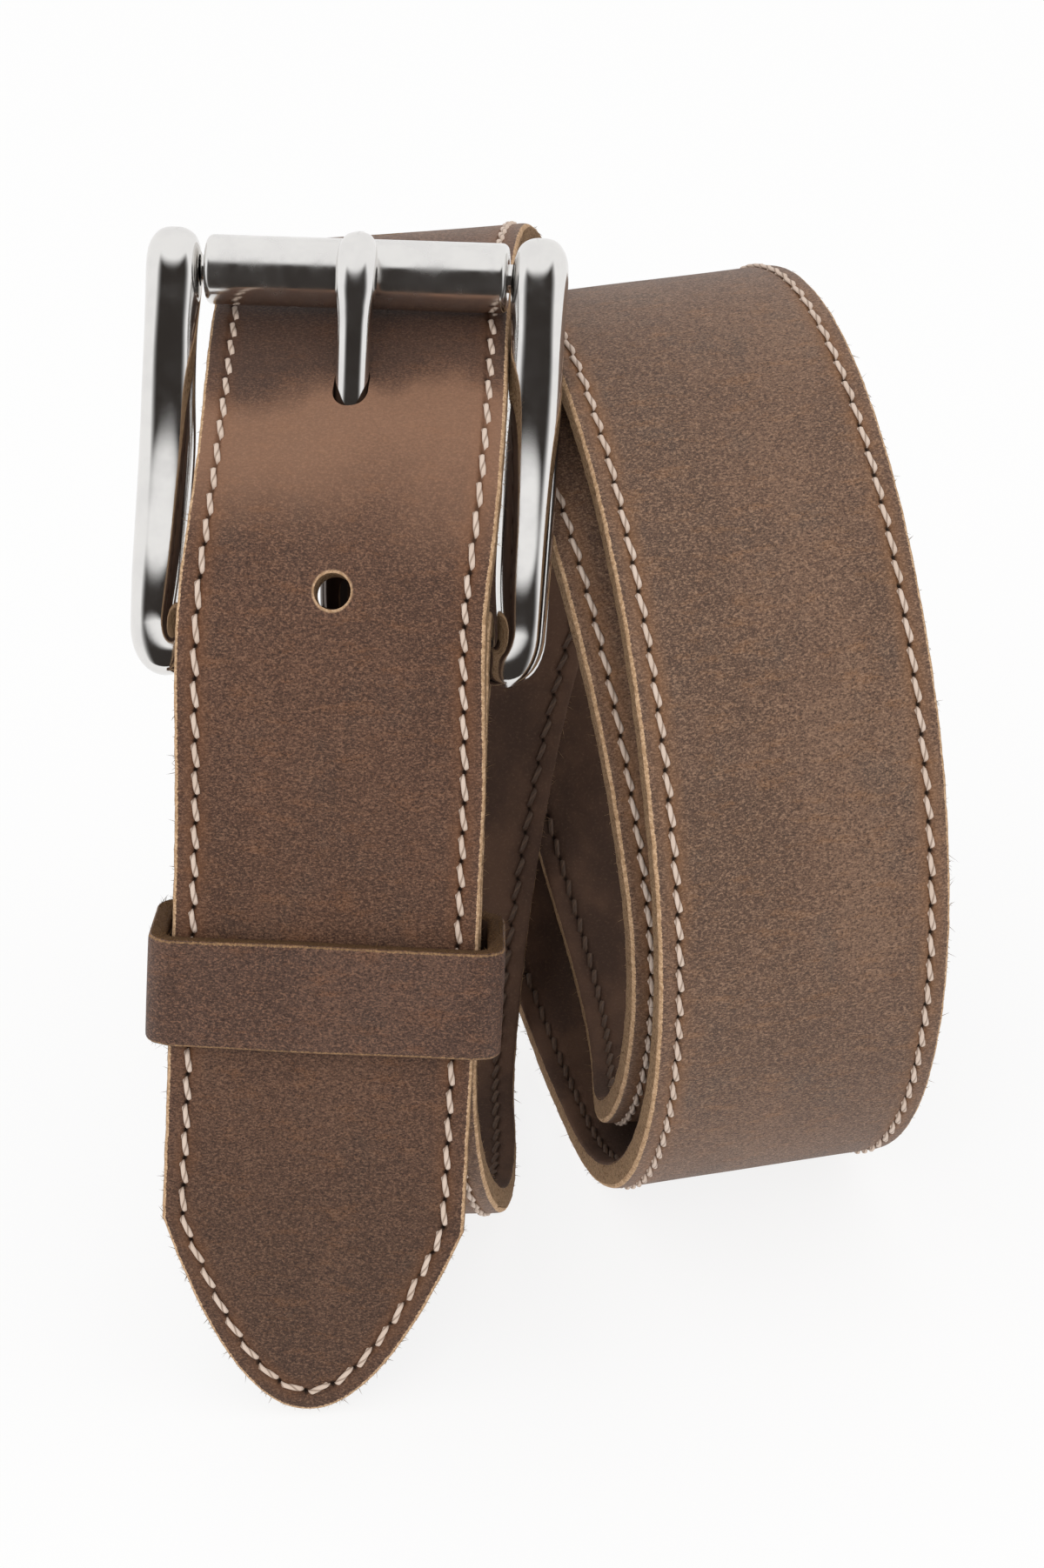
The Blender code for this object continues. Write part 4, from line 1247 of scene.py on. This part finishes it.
def build_floor():
    """A pale table top that reaches just past the picture's lower edge."""
    mesh = bpy.data.meshes.new("floor")
    left, right, near, far = -3.0, 3.0, -0.135, 5.0
    corners = [(left, near, 0), (right, near, 0), (right, far, 0), (left, far, 0)]
    mesh.from_pydata(corners, [], [(0, 1, 2, 3)])
    floor = bpy.data.objects.new("floor", mesh)
    link(floor)
    s = Shader("floor_white")
    mesh.materials.append(s.finish(
        Base_Color=(0.14, 0.139, 0.138), Roughness=0.8, Specular_IOR_Level=0.0,
        Emission_Color=(1.0, 1.0, 1.0), Emission_Strength=0.845,
    ))


def build_world():
    """White all round, with the unlit room behind the camera for the metal to reflect."""
    world = bpy.data.worlds.new("studio")
    bpy.context.scene.world = world
    s = Nodes(world)
    where = s.node("ShaderNodeTexCoord").outputs["Generated"]
    x, y, z = s.node("ShaderNodeSeparateXYZ", {0: where}).outputs
    ahead = s.sum("MAXIMUM", s.sum("MULTIPLY", y, -1.0), 0.001)
    narrow = s.ranged(s.sum("DIVIDE", s.sum("ABSOLUTE", x, 0.0), ahead), 2.1, 0.75)
    shape = s.sum("MULTIPLY", narrow, s.ranged(z, 0.76, 0.62))
    glossy = s.node("ShaderNodeLightPath").outputs["Is Glossy Ray"]
    colour = s.mix(s.sum("MULTIPLY", shape, glossy), (1.0, 1.0, 1.0), (0.036, 0.031, 0.028))
    background = s.tree.nodes["Background"]
    s.put(colour, background.inputs["Color"])
    background.inputs["Strength"].default_value = 0.98


def soft_light(name, location, aim, size, power):
    data = bpy.data.lights.new(name, "AREA")
    data.shape = "DISK"
    data.size = size
    data.energy = power
    lamp = bpy.data.objects.new(name, data)
    lamp.location = location
    lamp.visible_glossy = False
    lamp.rotation_euler = (Vector(aim) - Vector(location)).to_track_quat("-Z", "Y").to_euler()
    link(lamp)


def build_camera():
    """Looks 26 degrees down on the front from half a metre, turned 2.7 degrees on its axis."""
    pitch, roll, distance = math.radians(26.0), math.radians(2.7), 0.520
    aim = Vector((CENTRE_X, CENTRE_Y - 37.0, 74.8)) * MM
    back = Vector((0, -math.cos(pitch), math.sin(pitch)))
    right = Vector((1, 0, 0))
    up = back.cross(right)
    turned_x = right * math.cos(roll) - up * math.sin(roll)
    turned_y = right * math.sin(roll) + up * math.cos(roll)
    data = bpy.data.cameras.new("camera")
    data.sensor_fit = "VERTICAL"
    data.sensor_height = 36.0
    data.lens = 88.85
    data.clip_start = 0.01
    camera = bpy.data.objects.new("camera", data)
    axes = Matrix((turned_x, turned_y, back)).transposed().to_4x4()
    camera.matrix_world = Matrix.Translation(aim + back * distance) @ axes
    link(camera)
    bpy.context.scene.camera = camera


def build_stage():
    build_floor()
    build_world()
    build_camera()
    soft_light("front_light", (-0.25, -1.1, 0.75), (0, 0, 0.08), 0.8, 3.6)
    bpy.context.scene.view_settings.view_transform = "Standard"


place_all()
build_stage()
